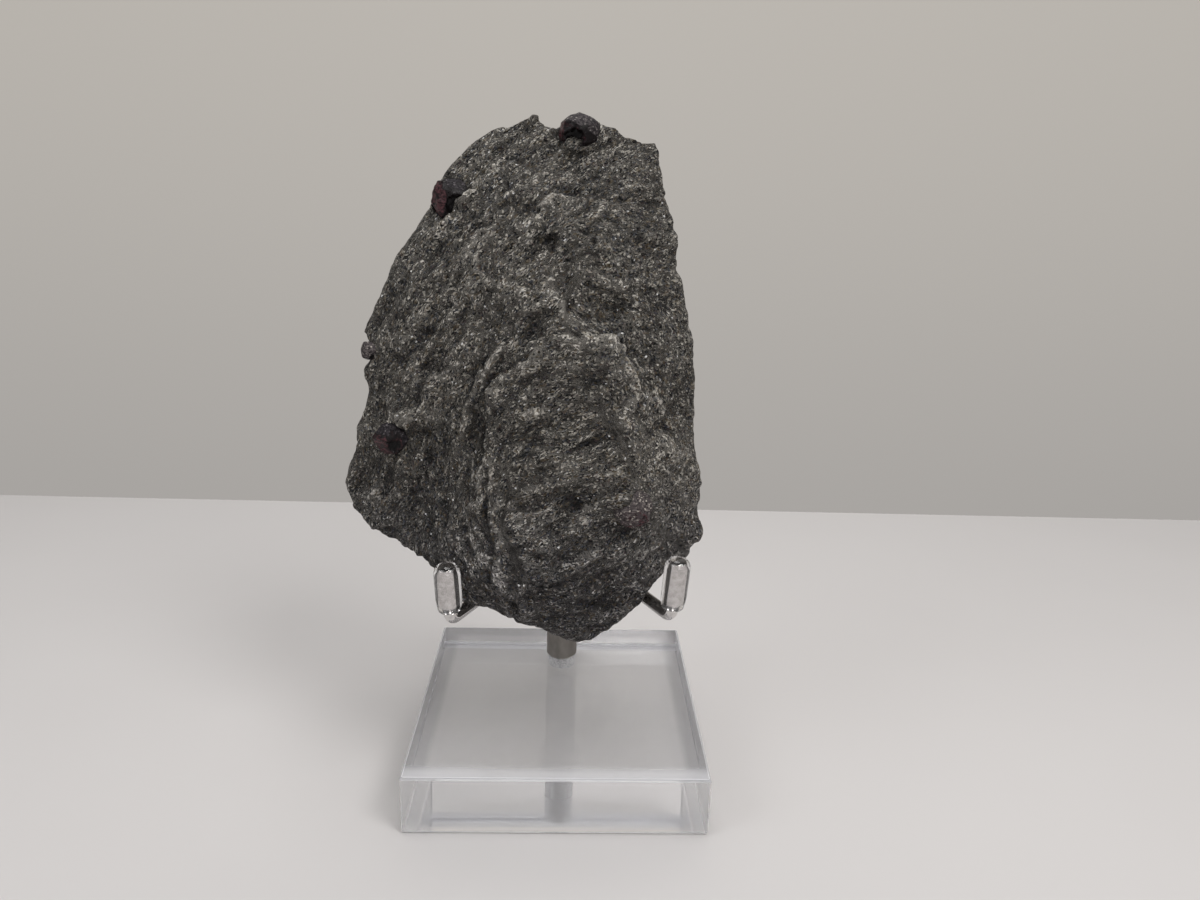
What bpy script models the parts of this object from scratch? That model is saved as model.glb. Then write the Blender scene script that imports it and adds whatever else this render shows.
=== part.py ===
"""Garnet in matrix: a slab of garnet schist on a clear block with a three-armed metal stand.

Frame: origin at the centre of the block's underside, +X right, -Y towards the viewer, +Z up.
"""
import math

import bmesh
import bpy
import numpy as np
from mathutils import Matrix, Vector, noise

MM = 0.001
GAP = 0.3 * MM

# Clear block
BLOCK_SIDE = 76.2 * MM
BLOCK_HEIGHT = 16.0 * MM
BLOCK_TOP_CHAMFER = 1.0 * MM
BLOCK_EDGE_CHAMFER = 0.4 * MM
HOLE_DIAMETER = 8.0 * MM
HOLE_DEPTH = 8.0 * MM
HOLE_POINT_DEPTH = 0.6 * MM

# Stem
STEM_X = 0.4 * MM
STEM_Y = 22.6 * MM
STEM_DIAMETER = 9.2 * MM
HEAD_DIAMETER = 13.0 * MM
HEAD_BOTTOM = 50.5 * MM
HEAD_TOP = 66.0 * MM
HEAD_CHAMFER = 0.8 * MM
REST_HOLE_FLOOR = 60.6 * MM

# Arms and back rest
ROD_DIAMETER = 3.2 * MM
ROD_BEND_RADIUS = 2.2 * MM
ARM_HEIGHT = 54.8 * MM
ARM_START = 4.8 * MM
BEND_STEPS = 7
PRONG_FEET = {"left": (-25.9 * MM, -30.4 * MM), "right": (27.0 * MM, -27.3 * MM)}
PRONG_LEAN = {"left": math.radians(3.0), "right": math.radians(4.0)}
PRONG_TIP = {"left": 67.8 * MM, "right": 68.9 * MM}
REST_TIP = (0.4 * MM, 19.2 * MM, 113.0 * MM)

# Sleeves
SLEEVE_DIAMETER = 6.3 * MM
SLEEVE_CAP = 1.5 * MM
SLEEVE_DOME_HEIGHT = 2.6 * MM
SLEEVE_DOME_POWER = 0.8
SLEEVE_DOME_STEPS = 6
SLEEVE_NECK = 5.2 * MM
SLEEVE_TAPER_TOP = 3.0 * MM
SLEEVE_TAPER_MIDDLE = (0.25 * MM, 1.2 * MM)
BORE_MOUTH = (0.45 * MM, 1.6 * MM)
SLEEVE_FOOT = 57.3 * MM
REST_SLEEVE_LENGTH = 11.0 * MM

# Stone: rim of the slab, clockwise from the top as seen from the front.
# x, y and z in mm; y is how far back the rim lies at that place.
STONE_CENTRE = (-7, 0, 104)
STONE_RIM = (
    (8, 4, 171.6), (13, 4, 170.9), (20.3, 2, 168.4), (22.3, 0, 159.5), (23, -1, 153.5), (26, -3, 144.5),
    (27, -4, 136), (29, -5, 130), (30, -6, 122), (31.5, -7, 111), (32.5, -7, 103.5), (32, -8, 97),
    (33.5, -8, 89), (35, -8, 81), (34.6, -8, 71), (33.5, -8, 65), (32.5, -9, 62), (26, -15, 60.2),
    (22.8, -20, 58.8), (20, -20, 53.2), (13.5, -19, 47.6), (5, -18, 43.1), (-1.5, -18, 44.6),
    (-8.5, -19, 48.8), (-17, -21, 53.7), (-22, -26, 55.8), (-25.6, -27, 56.8), (-30.2, -21, 62.2),
    (-35.5, -14, 64.2), (-39, -12.5, 65), (-40.8, -12, 65.8), (-45.3, -11, 67.6), (-49.5, -10, 71), (-53, -9, 75.3),
    (-54.6, -8, 81.5), (-53, -8, 87), (-51.5, -8, 93), (-50, -7, 99), (-49.3, -5, 104),
    (-48.8, -5, 109), (-47.5, -5, 113), (-49.4, -5, 118.4), (-45.8, -4, 125.5), (-43.3, -3, 132.5),
    (-37.7, -2, 141), (-33.2, -1, 148.7), (-29, 0, 155), (-28, 0, 158), (-25.8, 1, 161.2),
    (-19.4, 3, 166.8), (-12.2, 4, 170), (-6.8, 4, 173.2), (-3.5, 4, 171.2),
)
# Depth soundings of the two broad faces: x, z, y in mm.
FRONT_SOUNDINGS = (
    (-12, 166, 0), (4, 166, 0.5), (14, 163, -1),
    (-28, 150, -6), (-17, 152, -8), (-5, 152, -9), (8, 150, -10), (19, 150, -6),
    (-38, 135, -8), (-27, 136, -11.5), (-17, 136, -13.5), (-5, 135, -15.5), (9, 135, -15.5), (22, 134, -10),
    (-44, 120, -8.5), (-32, 120, -13), (-21, 120, -16), (-5, 118, -19.5), (8, 118, -19.5), (19, 120, -15.5),
    (28, 118, -10), (-46, 101, -9.5), (-36, 101, -14), (-25, 100, -16), (-10, 100, -22), (5, 100, -23.5),
    (18, 100, -20), (29, 100, -12), (-50, 82, -11), (-38, 83, -15), (-25, 82, -18), (-10, 82, -24),
    (5, 82, -25.5), (18, 82, -23), (32, 80, -12.5), (-44, 71, -14), (-33, 69, -18.5), (-24, 66, -26),
    (-25, 60.5, -27.5), (-12, 65, -26.5), (5, 64, -26.5), (18, 66, -24.5), (24, 66, -22), (32, 68, -12), (5, 50, -23.5),
)
BACK_SOUNDINGS = (
    (-8, 160, 11), (12, 156, 10), (-26, 146, 9), (-5, 138, 15), (20, 136, 8),
    (-40, 118, 6), (-22, 112, 13), (0, 112, 15.5), (24, 106, 9), (-46, 84, 5), (-28, 84, 12),
    (-2, 84, 15.5), (26, 80, 9), (-30, 70, 9), (4, 66, 14),
)
# Ledges stand proud on the right of their path: path (x, z), height, reach behind the edge, in mm.
STONE_LEDGES = (
    (((-15.5, 62), (-17.5, 73), (-19.5, 83), (-17.5, 93), (-18.5, 101), (-16.5, 109.5), (-11, 116.5),
      (-4, 120.5), (2, 122.5), (9, 119.5), (15.5, 114), (17.5, 107), (18.5, 98)), 2.0, 12),
    (((-27, 100), (-23, 107), (-19.8, 112), (-15.5, 119), (-10, 121.5)), 1.2, 5),
    (((-17, 136), (-13.5, 132.5), (-8, 131), (-2, 129.5), (3, 124.5)), 1.5, 7),
    (((-17, 150), (-11, 155.5), (-5.5, 152.5), (-3, 147)), 1.2, 7),
    (((-44, 121), (-36, 129), (-28, 137.5)), 1.2, 6),
    (((-38, 113), (-31, 119.5), (-25, 127), (-21, 134)), 1.1, 6),
    (((-14, 72.5), (-6, 73.5), (2, 73)), 1.2, 6),
    (((3, 91), (10, 95), (15, 98.5)), 1.2, 6),
)
# Lumps (height > 0) and pits (height < 0): x, z, half width, half height, turn in degrees, height.
STONE_LUMPS = (
    (-0.5, 143, 5, 5, 0, 1.6), (-4.5, 140.5, 2.4, 2.2, 0, -2.6), (-6.5, 122.3, 3.4, 2.2, 35, -2.6),
    (11.5, 127.5, 3.5, 3, 20, -1.8), (-37.4, 99.5, 4.2, 3.2, 25, 2.2), (-32, 106.5, 4, 2.5, 40, 1.4),
    (-27, 120, 2.8, 2.4, 40, -1.4), (-31.5, 111, 3, 2.2, 40, -1.3), (7, 96.5, 5.5, 2.2, 25, -1.6),
    (3.5, 80.5, 5, 3, 20, -1.6), (-19.5, 95, 2, 4, 5, -1.8), (-19.2, 84, 1.8, 5.5, -8, 1.6),
    (-17, 65, 2.4, 2.4, 0, 1.6), (14, 76, 6, 2.6, -15, -1.5), (24, 91, 5, 6, 0, 1.2),
    (-28, 90, 5, 4, 0, -1.6), (33.5, 70, 3, 3, 0, 1.2), (-46, 110, 2.2, 2.4, 0, 1.4),
    (16, 149, 5, 3.5, 30, -1.4), (20, 130, 3.4, 4.2, 0, -1.2), (-22, 146, 6, 2.6, 48, 1.5),
    (-48.5, 109.3, 2, 2.2, 0, 1.2), (35.5, 69.5, 2.6, 2.4, 0, 1.0), (2.5, 162.8, 3.2, 1.8, 0, -1.4),
    (16.4, 81, 6.5, 6.5, 0, 1.2), (-35, 93, 3.5, 3, 0, -1.3),
)
# Fracture planes that flatten the stone: a point in mm and the outward normal.
FRACTURE_PLANES = (
    ((-50, 0, 72), (-0.55, 0.35, -0.75)),
    ((33, 6, 100), (0.75, 0.65, 0.05)),
    ((-36, 9, 110), (-0.5, 0.86, 0.1)),
    ((0, 12, 156), (0.1, 0.75, 0.65)),
    ((10, 15, 76), (0.25, 0.93, -0.3)),
)
STONE_SUBDIVISIONS = 6
STONE_EDGE_POWER = 3.4
STONE_VOXEL = 1.3 * MM
STONE_KEPT_FACES = 0.15
SLAB_HALF_WIDTH = 60
SLAB_HALF_DEPTH = 18

# Stone relief, in mm and degrees: steps at the ledges, layers that lie flatter on the bulge, and grains.
LEDGE_EDGE_WIDTH = 1.6
LAYER_SPACING = 7.0
LAYER_HEIGHT = 0.9
LAYER_RISE = 0.72
LAYER_DIP = 0.3
LAYER_TILT = 48
LAYER_WANDER = 0.9
LAYER_WANDER_SIZE = 19
BULGE_LAYER_TILT = 18
BULGE_HEIGHT = 84
BULGE_REACH = 24
BULGE_EDGE = 10
BULGE_SLIMNESS = 0.55
STONE_GRAINS = ((13, 1.1), (6, 0.9))
RIM_RELIEF = 0.45

# Stone seat, in mm: the underside lies on the arms, hangs in the vee between them and rises behind its toe.
SEAT_CLEARANCE = 0.75
SEAT_LIFT = 0.86
VEE_SLOPE = 1.9
VEE_INSET = 1.3
TOE_HEIGHT = 42.3
TOE_DEPTH = -18
TOE_RISE = 0.45

# Garnets: centre in mm, half width across flats in mm, direction its three-sided corner points,
# turn of the corner's first edge in degrees.
GARNET_WEAR = 0.06
GARNETS = {
    "garnet_top": ((2.4, 1.8, 166.4), 4.0, (0.1, -0.96, 0.27), 30),
    "garnet_upper_left": ((-27.3, -1.8, 150.2), 4.2, (-0.05, -0.95, 0.15), 10),
    "garnet_left_edge": ((-47.3, -6.0, 114.4), 2.1, (-0.35, -0.9, 0.3), 5),
    "garnet_lower_left": ((-41.8, -11.4, 94.0), 3.5, (-0.2, -0.95, 0.1), 60),
    "garnet_lower_right": ((16.6, -21.2, 81.0), 4.3, (0.1, -0.95, 0.2), 80),
}


def clear_scene():
    for old in list(bpy.data.objects):
        bpy.data.objects.remove(old, do_unlink=True)


def new_collection(name):
    collection = bpy.data.collections.new(name)
    bpy.context.scene.collection.children.link(collection)
    return collection


def new_material(name, colour, roughness, metallic=0.0, transmission=0.0, ior=1.5):
    material = bpy.data.materials.new(name)
    material.use_nodes = True
    material.diffuse_color = (*colour, 1.0)
    shader = material.node_tree.nodes["Principled BSDF"]
    shader.inputs["Base Color"].default_value = (*colour, 1.0)
    shader.inputs["Roughness"].default_value = roughness
    shader.inputs["Metallic"].default_value = metallic
    shader.inputs["Transmission Weight"].default_value = transmission
    shader.inputs["IOR"].default_value = ior
    return material


def mesh_object(name, bm, collection, material=None):
    """Turn a bmesh into an object in a collection."""
    mesh = bpy.data.meshes.new(name)
    bm.to_mesh(mesh)
    bm.free()
    obj = bpy.data.objects.new(name, mesh)
    collection.objects.link(obj)
    if material:
        mesh.materials.append(material)
    return obj


def make_cutter(obj):
    obj.hide_render = True
    obj.display_type = "WIRE"


def cut(obj, cutter):
    boolean = obj.modifiers.new("cut_" + cutter.name, "BOOLEAN")
    boolean.operation = "DIFFERENCE"
    boolean.solver = "EXACT"
    boolean.object = cutter


def turned(name, profile, steps, collection, material=None):
    """Turn a profile of (radius, height) points, listed down its outer side, about Z."""
    bm = bmesh.new()
    verts = [bm.verts.new((radius, 0, height)) for radius, height in profile]
    for start, end in zip(verts, verts[1:]):
        bm.edges.new((start, end))
    obj = mesh_object(name, bm, collection, material)
    screw = obj.modifiers.new("turn", "SCREW")
    screw.steps = steps
    screw.render_steps = steps
    screw.use_merge_vertices = True
    screw.merge_threshold = 0.00001
    screw.use_smooth_shade = True
    return obj


def rod(name, points, diameter, collection, material=None):
    """Bend a round rod along its centre line, then make it a closed mesh."""
    curve = bpy.data.curves.new(name, "CURVE")
    curve.dimensions = "3D"
    curve.bevel_depth = diameter / 2
    curve.bevel_resolution = 4
    curve.use_fill_caps = True
    spline = curve.splines.new("POLY")
    spline.points.add(len(points) - 1)
    for point, place in zip(spline.points, points):
        point.co = (*place, 1.0)
    guide = bpy.data.objects.new(name + "_line", curve)
    collection.objects.link(guide)
    graph = bpy.context.evaluated_depsgraph_get()
    mesh = bpy.data.meshes.new_from_object(guide.evaluated_get(graph))
    bm = bmesh.new()
    bm.from_mesh(mesh)
    bpy.data.objects.remove(guide, do_unlink=True)
    bpy.data.curves.remove(curve)
    bmesh.ops.remove_doubles(bm, verts=bm.verts, dist=0.000001)
    bmesh.ops.recalc_face_normals(bm, faces=bm.faces)
    obj = mesh_object(name, bm, collection, material)
    obj.data.shade_smooth()
    obj.data.set_sharp_from_angle(angle=math.radians(40))
    return obj


def blend(value):
    """Ease from 0 to 1 as the value goes from 0 to 1."""
    value = np.clip(value, 0, 1)
    return value * value * (3 - 2 * value)


# Stone


def face_depth(soundings, x, z):
    """Depth of a broad face at (x, z): a thin sheet bent through its soundings."""
    known = np.array(soundings, dtype=float)
    count = len(known)

    def bend(distance):
        return distance ** 2 * np.log(distance + 1e-9)

    apart = np.hypot(known[:, None, 0] - known[None, :, 0], known[:, None, 1] - known[None, :, 1])
    flat = np.column_stack([np.ones(count), known[:, 0], known[:, 1]])
    system = np.zeros((count + 3, count + 3))
    system[:count, :count] = bend(apart)
    system[:count, count:] = flat
    system[count:, :count] = flat.T
    weights = np.linalg.solve(system, np.append(known[:, 2], [0, 0, 0]))
    reach = np.hypot(x[:, None] - known[None, :, 0], z[:, None] - known[None, :, 1])
    return bend(reach) @ weights[:count] + weights[count] + weights[count + 1] * x + weights[count + 2] * z


def ledge_height(path, height, reach, x, z):
    """Step up at a path: sharp on its left, easing back over the reach on its right."""
    nearest = np.full(x.shape, 1e9)
    side = np.zeros(x.shape)
    for (x0, z0), (x1, z1) in zip(path, path[1:]):
        along_x = x1 - x0
        along_z = z1 - z0
        length = along_x ** 2 + along_z ** 2
        share = np.clip(((x - x0) * along_x + (z - z0) * along_z) / length, 0, 1)
        off_x = x - x0 - share * along_x
        off_z = z - z0 - share * along_z
        distance = np.hypot(off_x, off_z)
        closer = distance < nearest
        nearest = np.where(closer, distance, nearest)
        side = np.where(closer, np.sign(along_z * off_x - along_x * off_z), side)
    proud = np.where(side > 0, np.exp(-(nearest / reach) ** 1.5), blend(1 - nearest / LEDGE_EDGE_WIDTH) * 0.5)
    return height * proud


def lump_height(lump, x, z):
    centre_x, centre_z, half_width, half_height, turn, height = lump
    angle = math.radians(turn)
    along = (x - centre_x) * math.cos(angle) + (z - centre_z) * math.sin(angle)
    across = (z - centre_z) * math.cos(angle) - (x - centre_x) * math.sin(angle)
    return height * np.exp(-((along / half_width) ** 2 + (across / half_height) ** 2))


def foliation(x, y, z):
    """Tilted layers of the schist: low stairs that rise to the upper right, flatter on the bulge."""
    bulge = blend((BULGE_REACH - np.hypot(x, (z - BULGE_HEIGHT) * BULGE_SLIMNESS)) / BULGE_EDGE)
    tilt = np.radians(LAYER_TILT - (LAYER_TILT - BULGE_LAYER_TILT) * bulge)
    wander = grain(x, y, z, LAYER_WANDER_SIZE, 0)
    up_layers = z * np.cos(tilt) - x * np.sin(tilt) + y * LAYER_DIP
    count = up_layers / LAYER_SPACING + wander * LAYER_WANDER
    share = count - np.floor(count)
    return blend(share / LAYER_RISE) - blend((share - LAYER_RISE) / (1 - LAYER_RISE)) - 0.5


def grain(x, y, z, size, seed):
    """Smooth lumps of about the given size in mm, from -1 to 1."""
    shift = Vector((seed * 7.3, seed * 3.1, seed * 5.7))
    return np.array([noise.noise(Vector(place) / size + shift) for place in zip(x, y, z)])


def chip(places, point, normal, keep=0.1):
    """Flatten what stands beyond a fracture plane."""
    normal = np.array(normal, dtype=float)
    normal /= np.linalg.norm(normal)
    beyond = (places - np.array(point)) @ normal
    return places - np.outer(np.maximum(beyond, 0) * (1 - keep), normal)


def arm_line(side):
    """Point and unit direction of an arm in plan, in mm."""
    foot = Vector(PRONG_FEET[side]) / MM
    hub = Vector((STEM_X, STEM_Y)) / MM
    return hub, (foot - hub).normalized()


def seat_floor(x, y):
    """Lowest the stone may reach: on the arms, and down in the vee between them."""
    rod_top = ARM_HEIGHT / MM + ROD_DIAMETER / MM / 2
    inside = np.full(x.shape, 1e9)
    for side, turn in (("left", 1), ("right", -1)):
        hub, along = arm_line(side)
        offset = turn * ((y - hub.y) * along.x - (x - hub.x) * along.y)
        inside = np.minimum(inside, offset)
    seat = rod_top + SEAT_CLEARANCE
    vee = seat - VEE_SLOPE * np.maximum(inside - VEE_INSET, 0)
    rising_back = TOE_HEIGHT + TOE_RISE * np.maximum(y - TOE_DEPTH, 0)
    return np.maximum(vee, np.minimum(rising_back, seat))


def stone_places(directions):
    """Map unit directions to places on the stone's surface, in mm."""
    centre = np.array(STONE_CENTRE, dtype=float)
    rim = np.array(STONE_RIM, dtype=float)
    rim_angle = np.arctan2(rim[:, 2] - centre[2], rim[:, 0] - centre[0])
    rim_radius = np.hypot(rim[:, 2] - centre[2], rim[:, 0] - centre[0])
    angle = np.arctan2(directions[:, 2], directions[:, 0])
    radius = np.interp(angle, *sorted_pair(rim_angle, rim_radius), period=math.tau)
    rim_y = np.interp(angle, *sorted_pair(rim_angle, rim[:, 1]), period=math.tau)

    share, across, depth = slab_profile()
    facing = np.abs(directions[:, 1])
    across_here = np.interp(1 - facing, share, across)
    depth_here = np.interp(1 - facing, share, depth)
    x = centre[0] + radius * across_here * np.cos(angle)
    z = centre[2] + radius * across_here * np.sin(angle)
    front = face_depth(FRONT_SOUNDINGS, x, z)
    back = face_depth(BACK_SOUNDINGS, x, z)
    face = np.where(directions[:, 1] < 0, front, back)
    y = rim_y + depth_here * (face - rim_y)
    return np.column_stack([x, y, z]), depth_here, directions[:, 1] < 0


def sorted_pair(keys, values):
    order = np.argsort(keys)
    return keys[order], values[order]


def slab_profile():
    """Quarter section of the slab, rounded at its edge, by share of the surface's area."""
    turn = np.linspace(0, math.pi / 2, 200)
    across = np.sin(turn) ** (2 / STONE_EDGE_POWER)
    depth = np.cos(turn) ** (2 / STONE_EDGE_POWER)
    step = np.hypot(np.diff(across) * SLAB_HALF_WIDTH, np.diff(depth) * SLAB_HALF_DEPTH)
    area = np.append(0, np.cumsum(step * (across[1:] + across[:-1])))
    return area / area[-1], across, depth


def stone_relief(places, inland, in_front):
    """Height to add along the outward normal: ledges, lumps and pits in front, layers all over."""
    x, y, z = places.T
    ledges = sum(ledge_height(path, height, reach, x, z) for path, height, reach in STONE_LEDGES)
    lumps = sum(lump_height(lump, x, z) for lump in STONE_LUMPS)
    relief = np.where(in_front, ledges * blend(inland * 2) + lumps, 0)
    rim_share = RIM_RELIEF + (1 - RIM_RELIEF) * inland
    relief += rim_share * LAYER_HEIGHT * foliation(x, y, z)
    for seed, (size, height) in enumerate(STONE_GRAINS, 1):
        relief += rim_share * height * grain(x, y, z, size, seed)
    return relief


def make_stone(collection, material):
    bm = bmesh.new()
    bmesh.ops.create_icosphere(bm, subdivisions=STONE_SUBDIVISIONS, radius=1.0)
    directions = np.array([vert.co.normalized() for vert in bm.verts])
    places, inland, in_front = stone_places(directions)
    for point, normal in FRACTURE_PLANES:
        places = chip(places, point, normal)
    for vert, place in zip(bm.verts, places):
        vert.co = place
    bm.normal_update()
    normals = np.array([vert.normal for vert in bm.verts])
    places += normals * stone_relief(places, inland, in_front)[:, None]
    sunk = seat_floor(places[:, 0], places[:, 1]) - places[:, 2]
    places[:, 2] += SEAT_LIFT * np.maximum(sunk, 0)
    for vert, place in zip(bm.verts, places):
        vert.co = place * MM
    stone = mesh_object("matrix", bm, collection, material)
    skin = stone.modifiers.new("even_skin", "REMESH")
    skin.mode = "VOXEL"
    skin.voxel_size = STONE_VOXEL
    facets = stone.modifiers.new("facets", "DECIMATE")
    facets.ratio = STONE_KEPT_FACES
    return stone


# Garnets


def garnet_mesh(name, half_width, collection, material):
    """A rhombic dodecahedron: the hull of a cube's corners and of a point over each of its faces."""
    bm = bmesh.new()
    edge = half_width / math.sqrt(2)
    for sx in (-1, 1):
        for sy in (-1, 1):
            for sz in (-1, 1):
                bm.verts.new((sx * edge, sy * edge, sz * edge))
    for axis in range(3):
        for sign in (-1, 1):
            tip = Vector((0, 0, 0))
            tip[axis] = 2 * edge * sign
            bm.verts.new(tip)
    bmesh.ops.convex_hull(bm, input=bm.verts)
    bmesh.ops.dissolve_limit(bm, angle_limit=math.radians(2), verts=bm.verts, edges=bm.edges)
    bmesh.ops.recalc_face_normals(bm, faces=bm.faces)
    return mesh_object(name, bm, collection, material)


def garnet_turn(toward, first_edge):
    """Rotation that points the crystal's (1, 1, 1) corner one way and turns its edges about it."""
    out = Vector(toward).normalized()
    right = Vector((0, 0, 1)).cross(out).normalized()
    up = out.cross(right)
    corner = Vector((1, 1, 1)).normalized()
    edge = (Vector((1, 0, 0)) - corner * corner.x).normalized()
    angle = math.radians(first_edge)
    edge_out = right * math.cos(angle) + up * math.sin(angle)
    local = Matrix((edge, corner.cross(edge), corner)).transposed()
    world = Matrix((edge_out, out.cross(edge_out), out)).transposed()
    return (world @ local.transposed()).to_4x4()


def make_garnets(stone, parts, cutters, material):
    """Each garnet sits in a socket of its own shape, wider all round by the gap."""
    for name, (centre, half_width, toward, first_edge) in GARNETS.items():
        half = half_width * MM
        place = Matrix.Translation(Vector(centre) * MM) @ garnet_turn(toward, first_edge)
        crystal = garnet_mesh(name, half, parts, material)
        crystal.matrix_world = place
        worn = crystal.modifiers.new("worn_edges", "BEVEL")
        worn.width = GARNET_WEAR * half
        worn.segments = 1
        socket = garnet_mesh(name + "_socket", half + GAP, cutters, None)
        socket.matrix_world = place
        make_cutter(socket)
        cut(stone, socket)


# Stand


def make_block(parts, cutters, material):
    bm = bmesh.new()
    bmesh.ops.create_cube(bm, size=1.0)
    for vert in bm.verts:
        vert.co.x *= BLOCK_SIDE
        vert.co.y *= BLOCK_SIDE
        vert.co.z = (vert.co.z + 0.5) * BLOCK_HEIGHT
    weight = bm.edges.layers.float.new("bevel_weight_edge")
    for edge in bm.edges:
        on_top = all(vert.co.z > BLOCK_HEIGHT / 2 for vert in edge.verts)
        edge[weight] = 1.0 if on_top else BLOCK_EDGE_CHAMFER / BLOCK_TOP_CHAMFER
    block = mesh_object("base_block", bm, parts, material)
    bevel = block.modifiers.new("polished_edges", "BEVEL")
    bevel.limit_method = "WEIGHT"
    bevel.width = BLOCK_TOP_CHAMFER
    bevel.segments = 2
    floor = BLOCK_HEIGHT - HOLE_DEPTH
    radius = HOLE_DIAMETER / 2
    above = BLOCK_HEIGHT + 2 * MM
    profile = ((0, above), (radius, above), (radius, floor), (0, floor - HOLE_POINT_DEPTH))
    hole = turned("stem_hole", profile, 32, cutters)
    hole.location = (STEM_X, STEM_Y, 0)
    make_cutter(hole)
    cut(block, hole)
    return block


def arm_direction(side):
    hub, along = arm_line(side)
    return Vector((along.x, along.y, 0))


def make_stem(parts, cutters, material):
    """Turned post: a spigot in the block, a plain shank and a drilled head."""
    shank = STEM_DIAMETER / 2
    head = HEAD_DIAMETER / 2
    spigot = HOLE_DIAMETER / 2 - GAP
    foot = BLOCK_HEIGHT - HOLE_DEPTH + GAP
    shoulder = BLOCK_HEIGHT + GAP
    profile = (
        (0, HEAD_TOP), (head - HEAD_CHAMFER, HEAD_TOP), (head, HEAD_TOP - HEAD_CHAMFER),
        (head, HEAD_BOTTOM + HEAD_CHAMFER), (head - HEAD_CHAMFER, HEAD_BOTTOM), (shank, HEAD_BOTTOM),
        (shank, shoulder), (spigot, shoulder), (spigot, foot), (0, foot),
    )
    stem = turned("stem", profile, 28, parts, material)
    stem.location = (STEM_X, STEM_Y, 0)
    for side in PRONG_FEET:
        socket = socket_cutter("arm_socket_" + side, HEAD_DIAMETER, cutters)
        along = arm_direction(side)
        socket.rotation_euler = along.to_track_quat("Z", "Y").to_euler()
        socket.location = Vector((STEM_X, STEM_Y, ARM_HEIGHT)) + along * (ARM_START - GAP)
        cut(stem, socket)
    rest = socket_cutter("rest_socket", HEAD_TOP - REST_HOLE_FLOOR + 3 * MM, cutters)
    lean = Vector(REST_TIP) - Vector((STEM_X, STEM_Y, REST_HOLE_FLOOR))
    rest.rotation_euler = lean.to_track_quat("Z", "Y").to_euler()
    rest.location = (STEM_X, STEM_Y, REST_HOLE_FLOOR)
    cut(stem, rest)
    return stem


def socket_cutter(name, length, cutters):
    """Round cutter for a rod's socket, from its own origin up its Z axis."""
    radius = ROD_DIAMETER / 2 + GAP
    socket = turned(name, ((0, length), (radius, length), (radius, 0), (0, 0)), 24, cutters)
    make_cutter(socket)
    return socket


def prong_axis(side):
    """Foot and unit direction of the upturned end of an arm."""
    x, y = PRONG_FEET[side]
    lean = PRONG_LEAN[side]
    outward = arm_direction(side)
    outward.y = 0
    outward.normalize()
    return Vector((x, y, ARM_HEIGHT)), outward * math.sin(lean) + Vector((0, 0, math.cos(lean)))


def arm_points(side):
    """Centre line: straight from the stem's head, then one tight bend up into a prong."""
    foot, up = prong_axis(side)
    along = arm_direction(side)
    start = Vector((STEM_X, STEM_Y, ARM_HEIGHT)) + along * ARM_START
    turn = along.angle(up)
    setback = ROD_BEND_RADIUS * math.tan(turn / 2)
    bend_start = foot - along * setback
    towards = (up - along * up.dot(along)).normalized()
    centre = bend_start + towards * ROD_BEND_RADIUS
    points = [start, (start + bend_start) / 2]
    for step in range(BEND_STEPS + 1):
        angle = turn * step / BEND_STEPS
        spoke = along * math.sin(angle) - towards * math.cos(angle)
        points.append(centre + spoke * ROD_BEND_RADIUS)
    points.append(prong_tip(side))
    return points


def prong_tip(side):
    foot, up = prong_axis(side)
    return foot + up * ((PRONG_TIP[side] - ARM_HEIGHT) / up.z)


def seat_stone(stone, cutters):
    """Keep the stone's underside and face a hair clear of each arm and of its sleeve."""
    for side in PRONG_FEET:
        groove = rod("arm_clearance_" + side, arm_points(side), ROD_DIAMETER + 2 * GAP, cutters)
        make_cutter(groove)
        cut(stone, groove)
        radius = SLEEVE_DIAMETER / 2 + GAP
        low = SLEEVE_FOOT - PRONG_TIP[side] - GAP
        high = SLEEVE_CAP + GAP
        profile = ((0, high), (radius, high), (radius, low), (0, low))
        notch = turned("sleeve_clearance_" + side, profile, 24, cutters)
        foot, up = prong_axis(side)
        notch.rotation_euler = up.to_track_quat("Z", "Y").to_euler()
        notch.location = prong_tip(side)
        make_cutter(notch)
        cut(stone, notch)


def sleeve_profile(length):
    """Half section of a sleeve: domed top, tapered foot, a bore that widens at its mouth."""
    outer = SLEEVE_DIAMETER / 2
    neck = SLEEVE_NECK / 2
    bore = ROD_DIAMETER / 2 + GAP
    top = SLEEVE_CAP
    bottom = -length
    mouth, mouth_depth = BORE_MOUTH
    taken_in, taper_middle = SLEEVE_TAPER_MIDDLE
    points = [(0, top)]
    for step in range(1, SLEEVE_DOME_STEPS + 1):
        angle = math.pi / 2 * step / SLEEVE_DOME_STEPS
        across = outer * math.sin(angle) ** SLEEVE_DOME_POWER
        points.append((across, top - SLEEVE_DOME_HEIGHT * (1 - math.cos(angle))))
    points += [(outer, bottom + SLEEVE_TAPER_TOP), (outer - taken_in, bottom + taper_middle), (neck, bottom)]
    points += [(bore + mouth, bottom), (bore, bottom + mouth_depth), (bore, GAP), (0, GAP)]
    return points


def make_sleeve(name, tip, up, length, parts, material):
    """A clear sleeve pushed over a rod's tip; its own origin is at the tip."""
    sleeve = turned(name, sleeve_profile(length), 20, parts, material)
    sleeve.rotation_euler = up.to_track_quat("Z", "Y").to_euler()
    sleeve.location = tip
    return sleeve


def make_back_rest(parts, metal, vinyl):
    foot = Vector((STEM_X, STEM_Y, REST_HOLE_FLOOR))
    tip = Vector(REST_TIP)
    up = (tip - foot).normalized()
    rod("back_rest", [foot + up * GAP, (foot + tip) / 2, tip], ROD_DIAMETER, parts, metal)
    make_sleeve("back_rest_sleeve", tip, up, REST_SLEEVE_LENGTH, parts, vinyl)


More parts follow.
